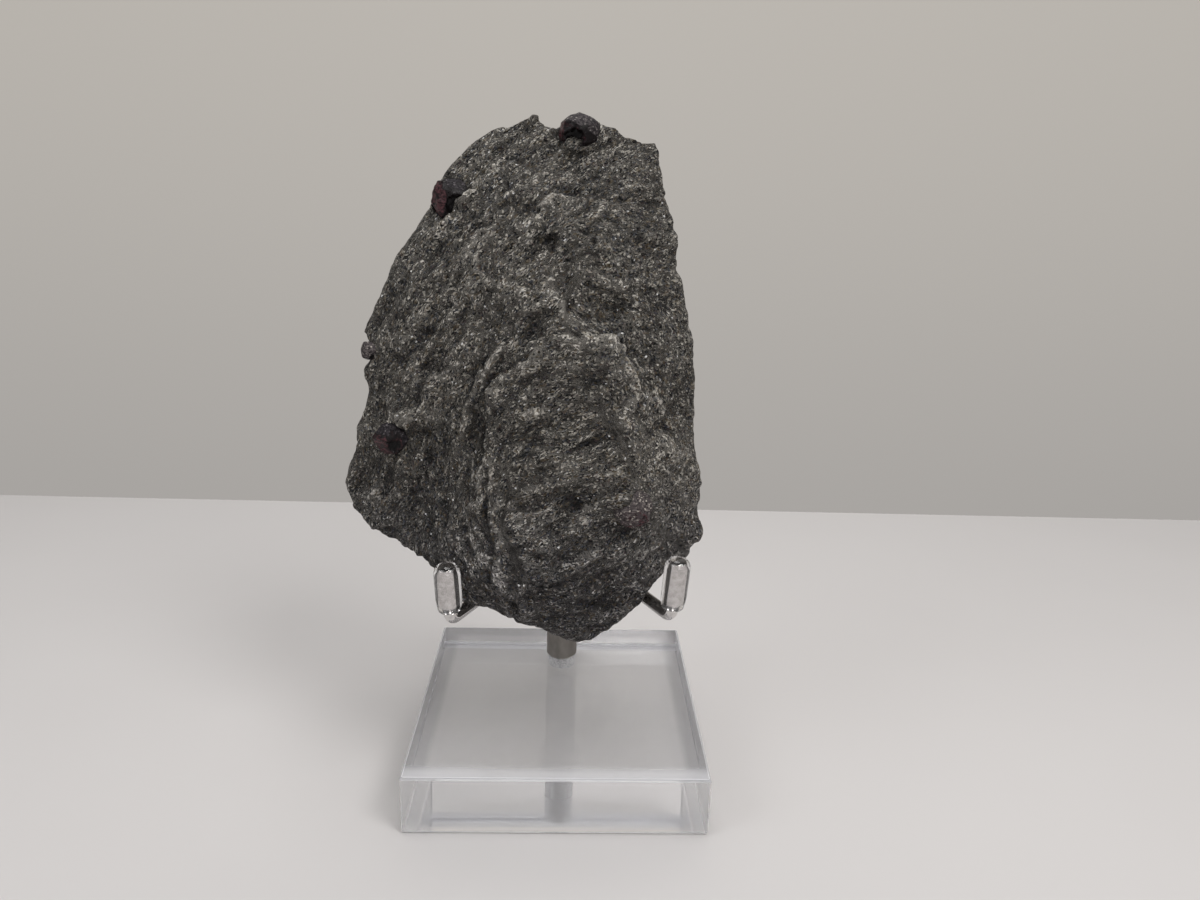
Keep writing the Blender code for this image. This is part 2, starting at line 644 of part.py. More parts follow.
def main():
    clear_scene()
    parts = new_collection("garnet_in_matrix")
    cutters = new_collection("cutters")
    schist = new_material("garnet_schist", (0.10, 0.098, 0.095), 0.62)
    garnet = new_material("garnet", (0.075, 0.022, 0.026), 0.25)
    acrylic = new_material("clear_acrylic", (0.95, 0.96, 0.96), 0.02, transmission=1.0, ior=1.49)
    satin = new_material("satin_metal", (0.46, 0.43, 0.40), 0.38, metallic=1.0)
    polished = new_material("polished_metal", (0.78, 0.77, 0.75), 0.12, metallic=1.0)
    vinyl = new_material("clear_vinyl", (0.94, 0.95, 0.95), 0.08, transmission=1.0, ior=1.52)

    stone = make_stone(parts, schist)
    make_garnets(stone, parts, cutters, garnet)
    seat_stone(stone, cutters)
    make_block(parts, cutters, acrylic)
    make_stem(parts, cutters, satin)
    for side in PRONG_FEET:
        rod("arm_" + side, arm_points(side), ROD_DIAMETER, parts, polished)
        length = PRONG_TIP[side] - SLEEVE_FOOT
        make_sleeve("sleeve_" + side, prong_tip(side), prong_axis(side)[1], length, parts, vinyl)
    make_back_rest(parts, polished, vinyl)


main()
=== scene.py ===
import math

import bmesh
import bpy
import numpy as np
from mathutils import Matrix, Vector, noise


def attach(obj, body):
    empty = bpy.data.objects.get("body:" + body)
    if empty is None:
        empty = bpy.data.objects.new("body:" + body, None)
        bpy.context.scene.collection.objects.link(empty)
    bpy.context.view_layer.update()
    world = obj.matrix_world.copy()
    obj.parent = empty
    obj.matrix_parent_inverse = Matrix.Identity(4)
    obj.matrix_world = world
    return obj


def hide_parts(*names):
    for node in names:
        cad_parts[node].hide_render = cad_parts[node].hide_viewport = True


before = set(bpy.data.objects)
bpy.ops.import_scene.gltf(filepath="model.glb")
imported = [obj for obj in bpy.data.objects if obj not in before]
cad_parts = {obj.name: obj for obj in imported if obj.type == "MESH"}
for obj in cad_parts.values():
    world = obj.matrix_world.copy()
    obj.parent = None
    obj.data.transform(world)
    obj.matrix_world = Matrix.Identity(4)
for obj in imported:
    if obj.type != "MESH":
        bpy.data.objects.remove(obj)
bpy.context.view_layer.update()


# Base block: a square of clear cast acrylic, sawn to size, with its edges rounded over and a blind hole for the post.
# The drill leaves the hole's wall frosted white, the saw leaves the sides dull under their polish, and long use has
# left a faint haze on the top. Painted light and shade: a white band along the top's front edge and the white rounded
# edges are painted highlight, the foot of its back is white and glows like its underside and the hole's wall, and
# dark bands along the sides and back of the top are painted shade.
MM = 0.001
POST_X, POST_Y = 0.4, 22.6
HOLE_RADIUS = 4.0
BLOCK_TOP = 16.0
BLOCK_HALF = 38.1
EDGE_ROUND = 0.7
EDGE_STEPS = 6
CORNER_ROUND = 0.5
CORNER_STEPS = 8
SIDE_STEPS = 40
EDGE_GUARD = 0.05
HOLE_FLOOR = 8.0
HOLE_POINT = 0.6
HOLE_MOUTH = 0.15
# Bands of haze, painted light and painted shade: how near a place counts as on a face or an edge, the glowing white
# foot of the back as its depth and height, and the bands of the top, painted shade along the sides and back and painted
# highlight along the front, as where they start and end, from the block's outside.
ON_FACE = 0.05
ON_EDGE = 0.02
BACK_GLOW_BAND = (2.4, 2.6)
EDGE_SHADE_BAND = (7, 4.5)
FRONT_HIGHLIGHT_BAND = (6.5, 1.5)


class Link:
    """One socket of a finish's nodes. A sum of links adds its own Math nodes."""

    def __init__(self, tree, socket=None):
        self.tree = tree
        self.socket = socket

    def node(self, kind, settings=None, inputs=None, output=0):
        """Add a node, its settings first, then the values or links of its sockets."""
        made = self.tree.nodes.new(kind)
        for name, value in (settings or {}).items():
            if name == "stops":
                ramp = made.color_ramp.elements
                while len(ramp) < len(value):
                    ramp.new(1.0)
                for stop, (place, colour) in zip(ramp, value):
                    stop.position = place
                    stop.color = (*colour, 1.0)
            else:
                setattr(made, name, value)
        for name, value in (inputs or {}).items():
            if isinstance(value, Link):
                self.tree.links.new(value.socket, made.inputs[name])
            else:
                made.inputs[name].default_value = value
        if output is None:
            return [Link(self.tree, socket) for socket in made.outputs]
        return Link(self.tree, made.outputs[output])

    def math(self, operation, *values):
        """A Math node on the given values and links alone."""
        return self.node("ShaderNodeMath", {"operation": operation}, dict(enumerate(values)))

    def vector(self, operation, *values):
        """A Vector Math node on the given values and links alone."""
        return self.node("ShaderNodeVectorMath", {"operation": operation}, dict(enumerate(values)))

    def __add__(self, other):
        return self.math("ADD", self, other)

    def __radd__(self, other):
        return self.math("ADD", other, self)

    def __sub__(self, other):
        return self.math("SUBTRACT", self, other)

    def __rsub__(self, other):
        return self.math("SUBTRACT", other, self)

    def __mul__(self, other):
        return self.math("MULTIPLY", self, other)

    def __rmul__(self, other):
        return self.math("MULTIPLY", other, self)

    def __pow__(self, other):
        return self.math("POWER", self, other)

    def __lt__(self, other):
        return self.math("LESS_THAN", self, other)

    def __gt__(self, other):
        return self.math("GREATER_THAN", self, other)

    def __abs__(self):
        return self.math("ABSOLUTE", self)

    def or_more(self, other):
        """The larger of the two."""
        return self.math("MAXIMUM", self, other)

    def eased(self, low, high):
        """From 0 to 1 as the value goes from low to high."""
        settings = {"interpolation_type": "SMOOTHSTEP"}
        return self.node("ShaderNodeMapRange", settings, {"Value": self, "From Min": low, "From Max": high})

    def stretched(self, *sizes):
        """Places divided by a size along each axis, so a pattern has one cell to a size."""
        return self.vector("DIVIDE", self, sizes)

    def lumps(self, detail=2.0, roughness=0.5):
        """Soft random lumps, about one to a unit."""
        inputs = {"Vector": self, "Scale": 1.0, "Detail": detail, "Roughness": roughness}
        return self.node("ShaderNodeTexNoise", None, inputs)

    def cells(self):
        """A random colour for each cell of a crazed pattern, about one cell to a unit."""
        return self.node("ShaderNodeTexVoronoi", None, {"Vector": self, "Scale": 1.0}, "Color")

    def axes(self):
        """The three numbers of a place."""
        return self.node("ShaderNodeSeparateXYZ", None, {0: self}, None)

    def channels(self):
        """The three numbers of a colour."""
        return self.node("ShaderNodeSeparateColor", None, {0: self}, None)

    def stored(self, name, output="Fac"):
        """A value kept at each point of the mesh."""
        return self.node("ShaderNodeAttribute", {"attribute_name": name}, output=output)

    def blended(self, low, high):
        """Colours low and high mixed by this value."""
        return self.node("ShaderNodeMix", {"data_type": "RGBA"}, {0: self, 6: low, 7: high}, 2)

    def feed(self, shader, socket):
        """Join this to a socket of a shader."""
        self.tree.links.new(self.socket, shader.inputs[socket])

    def emboss(self, shader, distance, strength, **inputs):
        """Feed this height to a shader's Normal as a bump, its distance in metres."""
        sockets = {"Height": self, "Distance": distance, "Strength": strength, **inputs}
        self.node("ShaderNodeBump", None, sockets).feed(shader, "Normal")


def new_finish(name, **values):
    """A material, its shader with plain values, and the places of its points in mm."""
    material = bpy.data.materials.new(name)
    material.use_nodes = True
    shader = material.node_tree.nodes["Principled BSDF"]
    for socket, value in values.items():
        shader.inputs[socket.replace("_", " ")].default_value = value
    place = Link(material.node_tree).node("ShaderNodeTexCoord", output="Object")
    return material, shader, place.vector("MULTIPLY", place, (1 / MM, 1 / MM, 1 / MM))


def shown(mesh, name, replaced, material, crease=35):
    """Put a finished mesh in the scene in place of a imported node, its edges sharp above the crease in degrees."""
    piece = bpy.data.objects.new(name, mesh)
    bpy.context.scene.collection.objects.link(piece)
    mesh.materials.clear()
    mesh.materials.append(material)
    mesh.shade_smooth()
    mesh.set_sharp_from_angle(angle=math.radians(crease))
    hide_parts(replaced)
    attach(piece, "root")


def ringed_mesh(name, rings):
    """A closed skin over rings of places in mm, each ring a list of as many places or one place alone."""
    bm = bmesh.new()
    sides = max(len(ring) for ring in rings)
    made = []
    for ring in rings:
        verts = [bm.verts.new(Vector(place) * MM) for place in ring]
        made.append(verts if len(verts) == sides else verts * sides)
    for upper, lower in zip(made, made[1:]):
        for side in range(sides):
            after = (side + 1) % sides
            bm.faces.new(dict.fromkeys((upper[side], lower[side], lower[after], upper[after])))
    bmesh.ops.recalc_face_normals(bm, faces=bm.faces)
    mesh = bpy.data.meshes.new(name)
    bm.to_mesh(mesh)
    bm.free()
    return mesh


def square_ring(half, level):
    """Places round a square with rounded corners, closer together beside each corner."""
    run = 2 * (half - CORNER_ROUND)
    shares = [EDGE_GUARD / run, *(step / SIDE_STEPS for step in range(1, SIDE_STEPS)), 1 - EDGE_GUARD / run]
    ring = []
    for corner in range(4):
        quarter = Matrix.Rotation(math.radians(90 * corner), 2)
        for step in range(CORNER_STEPS + 1):
            angle = math.radians(90 * step / CORNER_STEPS)
            reach = half - CORNER_ROUND
            spot = quarter @ Vector((reach + CORNER_ROUND * math.cos(angle), reach + CORNER_ROUND * math.sin(angle)))
            ring.append((*spot, level))
        for share in shares:
            ring.append((*(quarter @ Vector((half - CORNER_ROUND - run * share, half))), level))
    return ring


def hole_ring(radius, level, outer):
    """Places round the hole, each on the straight line from its middle to a place of the outer ring."""
    middle = Vector((POST_X, POST_Y))
    ways = [(Vector(place[:2]) - middle).normalized() for place in outer]
    return [(*(middle + way * radius), level) for way in ways]


acrylic, acrylic_shader, place = new_finish(
    "clear_acrylic", Base_Color=(0.99, 0.99, 0.995, 1), Transmission_Weight=1.0, IOR=1.49, Roughness=0.0,
    Emission_Strength=1.0)
across_x, across_y, height = place.axes()
off_x = across_x - POST_X
off_y = across_y - POST_Y
off_axis = (off_x * off_x + off_y * off_y) ** 0.5
frosted = (off_axis < HOLE_RADIUS + 2 * ON_FACE) * (height > ON_FACE) * (height < BLOCK_TOP - ON_FACE)
from_middle = abs(across_x).or_more(abs(across_y))
on_side = from_middle > BLOCK_HALF - ON_FACE
on_front = across_y < ON_FACE - BLOCK_HALF
on_back = across_y > BLOCK_HALF - ON_FACE
on_top = height > BLOCK_TOP - ON_FACE
on_foot = height < ON_FACE
top_edge = from_middle + height > BLOCK_HALF + BLOCK_TOP - EDGE_ROUND + ON_EDGE
foot_edge = from_middle - height > BLOCK_HALF - EDGE_ROUND + ON_EDGE
# Painted light: the foot of the back is made white and glowing.
painted_back_glow = (across_y > BLOCK_HALF - BACK_GLOW_BAND[0]) * (height < BACK_GLOW_BAND[1])
# Painted highlight: a white band along the front of the top, where the block shows a bright strip.
painted_front_highlight = (0 - across_y).eased(BLOCK_HALF - FRONT_HIGHLIGHT_BAND[0], BLOCK_HALF - FRONT_HIGHLIGHT_BAND[1]) * on_top
handled = place.stretched(22, 22, 22).lumps(3.0).eased(0.4, 0.75)
drill_marks = place.stretched(30, 30, 0.5).lumps(2.0)
speckle = place.stretched(0.5, 0.5, 0.5).lumps(3.0, 0.7).eased(0.4, 0.65)
sawn = on_side * (0.35 - 0.33 * on_front - 0.27 * on_back)
(frosted * (0.4 + 0.25 * drill_marks) + sawn + on_top * handled * 0.01).feed(acrylic_shader, "Roughness")
# Painted shade: the top's colour is darkened in bands along its sides and back.
painted_edge_shade = abs(across_x).or_more(across_y).eased(BLOCK_HALF - EDGE_SHADE_BAND[0], BLOCK_HALF - EDGE_SHADE_BAND[1]) * on_top
painted_edge_shade.blended((1, 1, 1, 1), (0.55, 0.55, 0.57, 1)).feed(acrylic_shader, "Base Color")
(drill_marks * frosted).emboss(acrylic_shader, 0.0002, 0.6)
# Painted light: the underside, the hole's wall and the foot of its back glow, standing in for light that strays inside
# the block and comes out there.
painted_glow = painted_back_glow * 1.3 + frosted * (0.12 - 0.12 * speckle) + on_foot * 0.12
painted_glow.blended((0, 0, 0, 1), (0.3, 0.3, 0.3, 1)).feed(acrylic_shader, "Emission Color")
# Haze: a share of white scatter in the clear surface, most of it where the block is drilled or sawn, and white painted
# as highlight in places.
chalky = place.node("ShaderNodeBsdfDiffuse", None, {"Color": (0.87, 0.87, 0.91, 1)})
acrylic_out = acrylic.node_tree.nodes["Material Output"]
clear = Link(acrylic.node_tree, acrylic_shader.outputs[0])
whiteness = frosted * (0.5 - 0.35 * speckle) + on_side * (0.08 + 0.06 * on_front - 0.02 * on_back)
whiteness = whiteness + on_top * (0.09 + 0.06 * handled)
# Painted highlight: white on the front band of the top, on the rounded edges and on the foot of the back.
whiteness = whiteness + painted_front_highlight * 0.35 + top_edge.or_more(foot_edge) * 0.3 + painted_back_glow * 0.7
place.node("ShaderNodeMixShader", None, {0: whiteness, 1: clear, 2: chalky}).feed(acrylic_out, "Surface")
face_half = BLOCK_HALF - EDGE_ROUND - EDGE_GUARD
edge_turns = [math.radians(90 * step / EDGE_STEPS) for step in range(EDGE_STEPS + 1)]
block_rings = [[(0, 0, 0)], square_ring(face_half, 0)]
block_rings += [
    square_ring(BLOCK_HALF - EDGE_ROUND * (1 - math.sin(a)), EDGE_ROUND * (1 - math.cos(a))) for a in edge_turns]
block_rings += [
    square_ring(BLOCK_HALF, level) for level in (EDGE_ROUND + EDGE_GUARD, BLOCK_TOP - EDGE_ROUND - EDGE_GUARD)]
block_rings += [
    square_ring(BLOCK_HALF - EDGE_ROUND * (1 - math.cos(a)), BLOCK_TOP - EDGE_ROUND * (1 - math.sin(a)))
    for a in edge_turns]
top_ring = square_ring(face_half, BLOCK_TOP)
hole_levels = (
    (HOLE_RADIUS + HOLE_MOUTH, BLOCK_TOP), (HOLE_RADIUS, BLOCK_TOP - HOLE_MOUTH), (HOLE_RADIUS, HOLE_FLOOR))
block_rings += [top_ring] + [hole_ring(radius, level, top_ring) for radius, level in hole_levels]
block_rings.append([(POST_X, POST_Y, HOLE_FLOOR - HOLE_POINT)])
shown(ringed_mesh("block", block_rings), "block", "base_block", acrylic, crease=40)


# Post: a turned bar of satin metal with a plain shank, a wider drilled head and a spigot pressed into the block.
# The lathe leaves rings too fine to see one by one, which spread its shine along the bar.
POST_SIDES = 96
SHANK_RADIUS = 4.6
HEAD_RADIUS = 6.5
HEAD_BOTTOM, HEAD_TOP = 50.5, 66.0
HEAD_CHAMFER = 0.8
SPIGOT_RADIUS = 3.7
SPIGOT_FOOT = 8.3
SHOULDER = 16.3
SHANK_CHAMFER = 0.25
SMALL_CHAMFER = 0.3


def turned_mesh(name, profile, sides):
    """A closed form turned about Z from (radius, height) in mm, listed from its top pole to its last."""
    turns = [math.tau * side / sides for side in range(sides)]
    rings = []
    for radius, level in profile:
        ring = [(radius * math.cos(a), radius * math.sin(a), level) for a in turns]
        rings.append(ring if radius else [(0, 0, level)])
    return ringed_mesh(name, rings)


satin, satin_shader, place = new_finish(
    "satin_metal", Base_Color=(0.34, 0.315, 0.29, 1), Metallic=1.0, Roughness=0.45)
rings = place.stretched(40, 40, 0.12).lumps(3.0, 0.7)
stains = place.stretched(3, 3, 5).lumps(2.0)
(0.38 + 0.16 * rings + 0.08 * stains).feed(satin_shader, "Roughness")
rings.emboss(satin_shader, 0.00003, 0.5)
stains.eased(0.3, 0.8).blended((0.35, 0.325, 0.30, 1), (0.27, 0.25, 0.23, 1)).feed(satin_shader, "Base Color")
post_profile = (
    (0, HEAD_TOP), (HEAD_RADIUS - HEAD_CHAMFER, HEAD_TOP), (HEAD_RADIUS, HEAD_TOP - HEAD_CHAMFER),
    (HEAD_RADIUS, HEAD_BOTTOM + HEAD_CHAMFER), (HEAD_RADIUS - HEAD_CHAMFER, HEAD_BOTTOM),
    (SHANK_RADIUS + SMALL_CHAMFER, HEAD_BOTTOM), (SHANK_RADIUS, HEAD_BOTTOM - SMALL_CHAMFER),
    (SHANK_RADIUS, SHOULDER + SHANK_CHAMFER), (SHANK_RADIUS - SHANK_CHAMFER, SHOULDER), (SPIGOT_RADIUS, SHOULDER),
    (SPIGOT_RADIUS, SPIGOT_FOOT + SMALL_CHAMFER), (SPIGOT_RADIUS - SMALL_CHAMFER, SPIGOT_FOOT), (0, SPIGOT_FOOT),
)
post_mesh = turned_mesh("post", post_profile, POST_SIDES)
post_mesh.transform(Matrix.Translation((POST_X * MM, POST_Y * MM, 0)))
shown(post_mesh, "post", "stem", satin)


# Arms: two bright plated rods let into the post's head, each bent up sharply near its end into a prong.
# The stone lies on their straight runs, and the prongs keep it from sliding forward.
ROD_RADIUS = 1.6
ROD_FINENESS = 14
BEND_RADIUS = 2.2
BEND_STEPS = 20
ARM_HEIGHT = 54.8
ARM_START = 4.8
ROD_END_CHAMFER = 0.18
SAME_SPOT = 0.001
PRONG_FEET = {"left": (-25.9, -30.4), "right": (27.0, -27.3)}
PRONG_LEAN = {"left": math.radians(3.0), "right": math.radians(4.0)}
PRONG_TIP = {"left": 67.8, "right": 68.9}


def rod_mesh(name, points):
    """A round rod along points in mm, with a small chamfer at both ends."""
    start_run = (points[1] - points[0]).normalized() * ROD_END_CHAMFER
    end_run = (points[-1] - points[-2]).normalized() * ROD_END_CHAMFER
    line = [points[0], points[0] + start_run, *points[1:-1], points[-1] - end_run, points[-1]]
    curve = bpy.data.curves.new(name, "CURVE")
    curve.dimensions = "3D"
    curve.bevel_depth = ROD_RADIUS * MM
    curve.bevel_resolution = ROD_FINENESS
    curve.use_fill_caps = True
    spline = curve.splines.new("POLY")
    spline.points.add(len(line) - 1)
    for point, spot in zip(spline.points, line):
        point.co = (*(spot * MM), 1.0)
    spline.points[0].radius = spline.points[-1].radius = 1 - ROD_END_CHAMFER / ROD_RADIUS
    guide = bpy.data.objects.new(name + "_line", curve)
    bpy.context.scene.collection.objects.link(guide)
    graph = bpy.context.evaluated_depsgraph_get()
    mesh = bpy.data.meshes.new_from_object(guide.evaluated_get(graph))
    bpy.data.objects.remove(guide)
    bm = bmesh.new()
    bm.from_mesh(mesh)
    bmesh.ops.remove_doubles(bm, verts=bm.verts, dist=SAME_SPOT * MM)
    bmesh.ops.recalc_face_normals(bm, faces=bm.faces)
    bm.to_mesh(mesh)
    bm.free()
    return mesh


def prong_line(side):
    """Foot, direction out from the post and direction up of one prong."""
    foot = Vector((*PRONG_FEET[side], ARM_HEIGHT))
    along = (foot - Vector((POST_X, POST_Y, ARM_HEIGHT))).normalized()
    outward = math.copysign(1, along.x)
    lean = PRONG_LEAN[side]
    return foot, along, Vector((outward * math.sin(lean), 0, math.cos(lean)))


def prong_tip(side):
    """The middle of a prong's top end."""
    foot, _, up = prong_line(side)
    return foot + up * ((PRONG_TIP[side] - ARM_HEIGHT) / up.z)


plated, plated_shader, place = new_finish(
    "polished_metal", Base_Color=(0.72, 0.70, 0.68, 1), Metallic=1.0, Roughness=0.2)
drawn_lines = place.stretched(1.3, 1.3, 1.3).lumps(3.0)
(0.1 + 0.1 * drawn_lines).feed(plated_shader, "Roughness")
drawn_lines.emboss(plated_shader, 0.00001, 0.1)
drawn_lines.eased(0.35, 0.7).blended((0.68, 0.66, 0.65, 1), (0.54, 0.52, 0.51, 1)).feed(plated_shader, "Base Color")
for side in PRONG_FEET:
    foot, along, up = prong_line(side)
    start = Vector((POST_X, POST_Y, ARM_HEIGHT)) + along * ARM_START
    turn = along.angle(up)
    bend_start = foot - along * (BEND_RADIUS * math.tan(turn / 2))
    towards = (up - along * up.dot(along)).normalized()
    points = [start, (start + bend_start) / 2]
    for step in range(BEND_STEPS + 1):
        angle = turn * step / BEND_STEPS
        reach = along * math.sin(angle) + towards * (1 - math.cos(angle))
        points.append(bend_start + reach * BEND_RADIUS)
    points.append(prong_tip(side))
    shown(rod_mesh("arm_rod_" + side, points), "arm_rod_" + side, "arm_" + side, plated)


# Back rest: a straight rod of the same metal that stands in the top of the post's head and leans forward a little.
# The stone's back lies against it, so that it can't tip over backward.
REST_HOLE_FLOOR = 60.9
REST_TIP = Vector((0.4, 19.2, 113.0))
rest_foot = Vector((POST_X, POST_Y, REST_HOLE_FLOOR))
rest_points = [rest_foot, (rest_foot + REST_TIP) / 2, REST_TIP]
shown(rod_mesh("back_rest_rod", rest_points), "back_rest_rod", "back_rest", plated)


# Sleeves: short lengths of clear soft vinyl pushed over the prongs and the back rest, so that the stone is kept off
# the metal there. Each has a domed closed end and a pinched foot, and grips its rod.
SLEEVE_RADIUS = 3.15
SLEEVE_CAP = 1.5
SLEEVE_NECK = 2.6
SLEEVE_FOOT = 57.3
REST_SLEEVE_LENGTH = 11.0
DOME_HEIGHT = 2.6
DOME_POWER = 0.8
DOME_STEPS = 16
SLEEVE_SIDES = 72
GRIP = 0.02
BORE_RADIUS = ROD_RADIUS - GRIP
# The pinched foot outside and the flared mouth inside, as radius and height above the foot.
FOOT_OUTSIDE = (
    (SLEEVE_RADIUS, 3), (SLEEVE_RADIUS - 0.12, 1.9), (SLEEVE_RADIUS - 0.3, 0.9), (SLEEVE_NECK + 0.12, 0.15),
    (SLEEVE_NECK, 0))
MOUTH_INSIDE = ((BORE_RADIUS + 0.4, 0), (BORE_RADIUS + 0.1, 0.5), (BORE_RADIUS, 1.4))


def sleeve_profile(length):
    """Half section of a sleeve in mm, its height measured from the rod's tip."""
    dome = [(0, SLEEVE_CAP)]
    for step in range(1, DOME_STEPS + 1):
        angle = math.pi / 2 * step / DOME_STEPS
        across = SLEEVE_RADIUS * math.sin(angle) ** DOME_POWER
        dome.append((across, SLEEVE_CAP - DOME_HEIGHT * (1 - math.cos(angle))))
    foot = [(radius, level - length) for radius, level in FOOT_OUTSIDE + MOUTH_INSIDE]
    return [*dome, *foot, (BORE_RADIUS, -GRIP), (0, -GRIP)]


vinyl, vinyl_shader, place = new_finish(
    "clear_vinyl", Base_Color=(0.94, 0.935, 0.935, 1), Transmission_Weight=1.0, IOR=1.5, Roughness=0.08)
rubbed = place.stretched(1.6, 1.6, 3.5).lumps(3.0)
(0.06 + 0.1 * rubbed.eased(0.4, 0.8)).feed(vinyl_shader, "Roughness")
rubbed.emboss(vinyl_shader, 0.00006, 0.3)
rest_up = (REST_TIP - rest_foot).normalized()
sleeves = {
    "sleeve_" + side: (prong_tip(side), prong_line(side)[2], PRONG_TIP[side] - SLEEVE_FOOT) for side in PRONG_FEET}
sleeves["back_rest_sleeve"] = (REST_TIP, rest_up, REST_SLEEVE_LENGTH)
for name, (tip, up, length) in sleeves.items():
    mesh = turned_mesh(name + "_skin", sleeve_profile(length), SLEEVE_SIDES)
    mesh.transform(Matrix.Translation(tip * MM) @ up.to_track_quat("Z", "Y").to_matrix().to_4x4())
    shown(mesh, name + "_skin", name, vinyl)


# Stone: a slab of garnet schist, mostly black mica in thin beds with pale quartz and feldspar grains between.
# It is split along its beds and chipped, so its skin is stepped, pitted and full of flake edges that catch the light.
STONE_VOXEL = 0.57
STONE_SMOOTHING = 5
# Rounds of averaging over neighbouring points: for the way each point faces, and for the rock around it.
FACING_ROUNDS = 8
AROUND_ROUNDS = 30
# Relief of the split beds: height, spacing and length in mm. Lumps: height and size along each axis in mm.
BEDS = ((0.5, 3.0, 16), (0.36, 1.5, 7), (0.2, 0.9, 2.6))
LUMPS = ((0.5, (8, 6, 6)), (0.22, (3.2, 3, 2.8)), (0.16, (1.5, 1.4, 1.3)))
LUMPS_SEED = 4
# Pits: depth and size along each axis in mm.
PIT_DEPTH, PIT_SIZE = 0.4, (3.4, 3, 2.2)
# Beds: how they dip into the slab, how far they waver in shares of their spacing and over what length in mm, where
# the step up to the next bed starts, and how far on in the noise the next bed is read.
BED_DIP = 0.3
BED_WAVER, BED_WAVE = 0.5, 14
BED_STEP_START = 0.62
NEXT_BED = 3.71
# How strong the relief is on the slab's edges, and how strong the ledges and the knobs are.
EDGE_SHARE, LEDGE_SHARE, KNOB_SHARE = 0.6, 0.9, 0.7
# Distance from the middle of an arm over which the relief grows to full, and how much more a sleeve takes, in mm.
CLEAR_FROM, CLEAR_TO = 1.8, 5
SLEEVE_ALLOWANCE = 1
ARM_REACH = 50
# Paleness, painted light and shade: the height over the rock around it that makes a place palest, and the strength of
# the ledges' lit crests and shaded feet.
PALEST_HEIGHT = 0.8
LEDGE_PALENESS = 1.3
# Where the bed edges run on the slab's face: x, z in mm and the direction in degrees above +X.
STREAKS = (
    (-10, 169, 35), (2, 160, 45), (18, 162, 35), (-20, 152, 50), (-33, 146, 40), (-30, 135, 50), (-18, 138, 58),
    (-38, 128, 60), (-30, 120, 55), (-22, 120, 68), (-15, 122, 50), (-40, 108, 48), (-28, 106, 55), (-22, 102, 75),
    (-47, 95, 90), (-38, 90, 86), (-30, 92, 90), (-20, 92, 88), (-47, 80, 62), (-40, 76, 60), (-25, 80, 90),
    (-22, 68, -45), (-18, 60, -62), (-12, 104, 38), (-8, 114, 32), (2, 118, 10), (8, 118, -12), (15, 113, -55),
    (-4, 102, 20), (-4, 88, 24), (6, 92, 22), (0, 80, 28), (8, 78, 8), (2, 70, 28), (12, 70, 30), (20, 68, 50),
    (14, 60, 42), (-2, 60, 0), (4, 50, -2), (22, 106, -72), (25, 122, -60), (25, 98, -48), (30, 88, -45),
    (30, 76, -60), (6, 156, 35), (14, 150, 10), (20, 142, -10), (-4, 136, 50), (6, 128, -40), (12, 126, -32),
    (-8, 130, 30), (-10, 142, 55), (12, 138, -15), (22, 132, -30), (-5, 151, 48), (-2, 158, 50), (-14, 132, 55),
    (-26, 132, 52), (-36, 118, 55),
)
# How soon one direction gives way to the next, in how many fixed directions the beds are made, and the jitter that
# roughens the joins between these in the grain, in radians, with its size in mm.
STREAK_CORE, STREAK_FALL = 12, -1.6
TURNS = 12
TURN_JITTER, JITTER_SIZE = 0.25, (2, 2, 2)
# Ledges: a line of (x, z) with the proud side on its right, its height, its reach and how pale its crest is painted as
# light.
LEDGES = (
    (((-14, 116), (-9, 119.5), (-4, 121), (1, 122.3), (6, 122), (10.5, 120), (14, 117), (15.8, 112), (16.8, 106)),
     1.1, 5, 0.5),
    (((-24, 99), (-22.5, 104), (-20.5, 109), (-19, 114), (-15.5, 118.5), (-11, 121)), 0.9, 3, 0.5),
    (((-18.5, 96), (-19.5, 103), (-17, 110), (-12.5, 114.5), (-8, 117)), 1.1, 5, 0.1),
    (((-21, 82), (-19.8, 87), (-18.6, 93)), 1.0, 2.5, 0.8),
    (((-14.8, 66), (-16.5, 74), (-16.8, 82), (-17, 92)), 1.0, 6, 0.25),
    (((-12.5, 60), (-16.5, 65.5), (-19.5, 69), (-23.5, 76)), 0.7, 3, 0.35),
    (((-20, 137.5), (-15.5, 133), (-9, 131.3), (-3, 130.5), (2.5, 126), (8, 121.5)), 0.9, 5, 0.5),
    (((-24, 139), (-18, 146), (-13, 151), (-7, 157), (-2, 163)), 0.6, 3.5, 0.25),
    (((-12.5, 142), (-8.5, 148), (-4.5, 151.5), (0, 152.5)), 0.8, 3, 0.45),
    (((-31, 134), (-24, 143), (-19, 149)), 0.5, 2.5, 0.2),
    (((-40, 121), (-32, 130), (-27, 137)), 0.6, 3, 0.15),
    (((-38, 112), (-31, 120), (-26, 128), (-22, 136)), 0.6, 3, 0.1),
    (((-35, 104), (-29, 111), (-24.5, 119), (-21, 128)), 0.5, 3, 0.1),
    (((18, 116), (21.5, 111), (23, 105), (24.5, 98), (27, 94)), 0.7, 3, 0.3),
    (((7, 143), (10, 146), (16, 147)), 0.6, 3, 0.15),
    (((-14.5, 93.6), (-11.5, 94.4), (-8.5, 93.8)), 0.6, 3, 0.0),
    (((-13, 79), (-6, 80.5), (1, 80), (6, 81.5)), 0.6, 3.5, 0.2),
    (((3, 98), (8, 100.5), (13, 103.5)), 0.7, 3, 0.2),
    (((-10, 104), (-3, 106), (4, 109)), 0.5, 3, 0.15),
    (((-31, 144), (-29.6, 145.6), (-26, 149.4), (-22.9, 152.6), (-21.5, 154)), 1.6, 3, 0.4),
    (((-5, 69), (3, 70), (10, 72), (16, 75)), 0.5, 3, 0.05),
    (((-9, 62), (-1, 62.5), (7, 63), (14, 66)), 0.5, 3, 0.0),
)
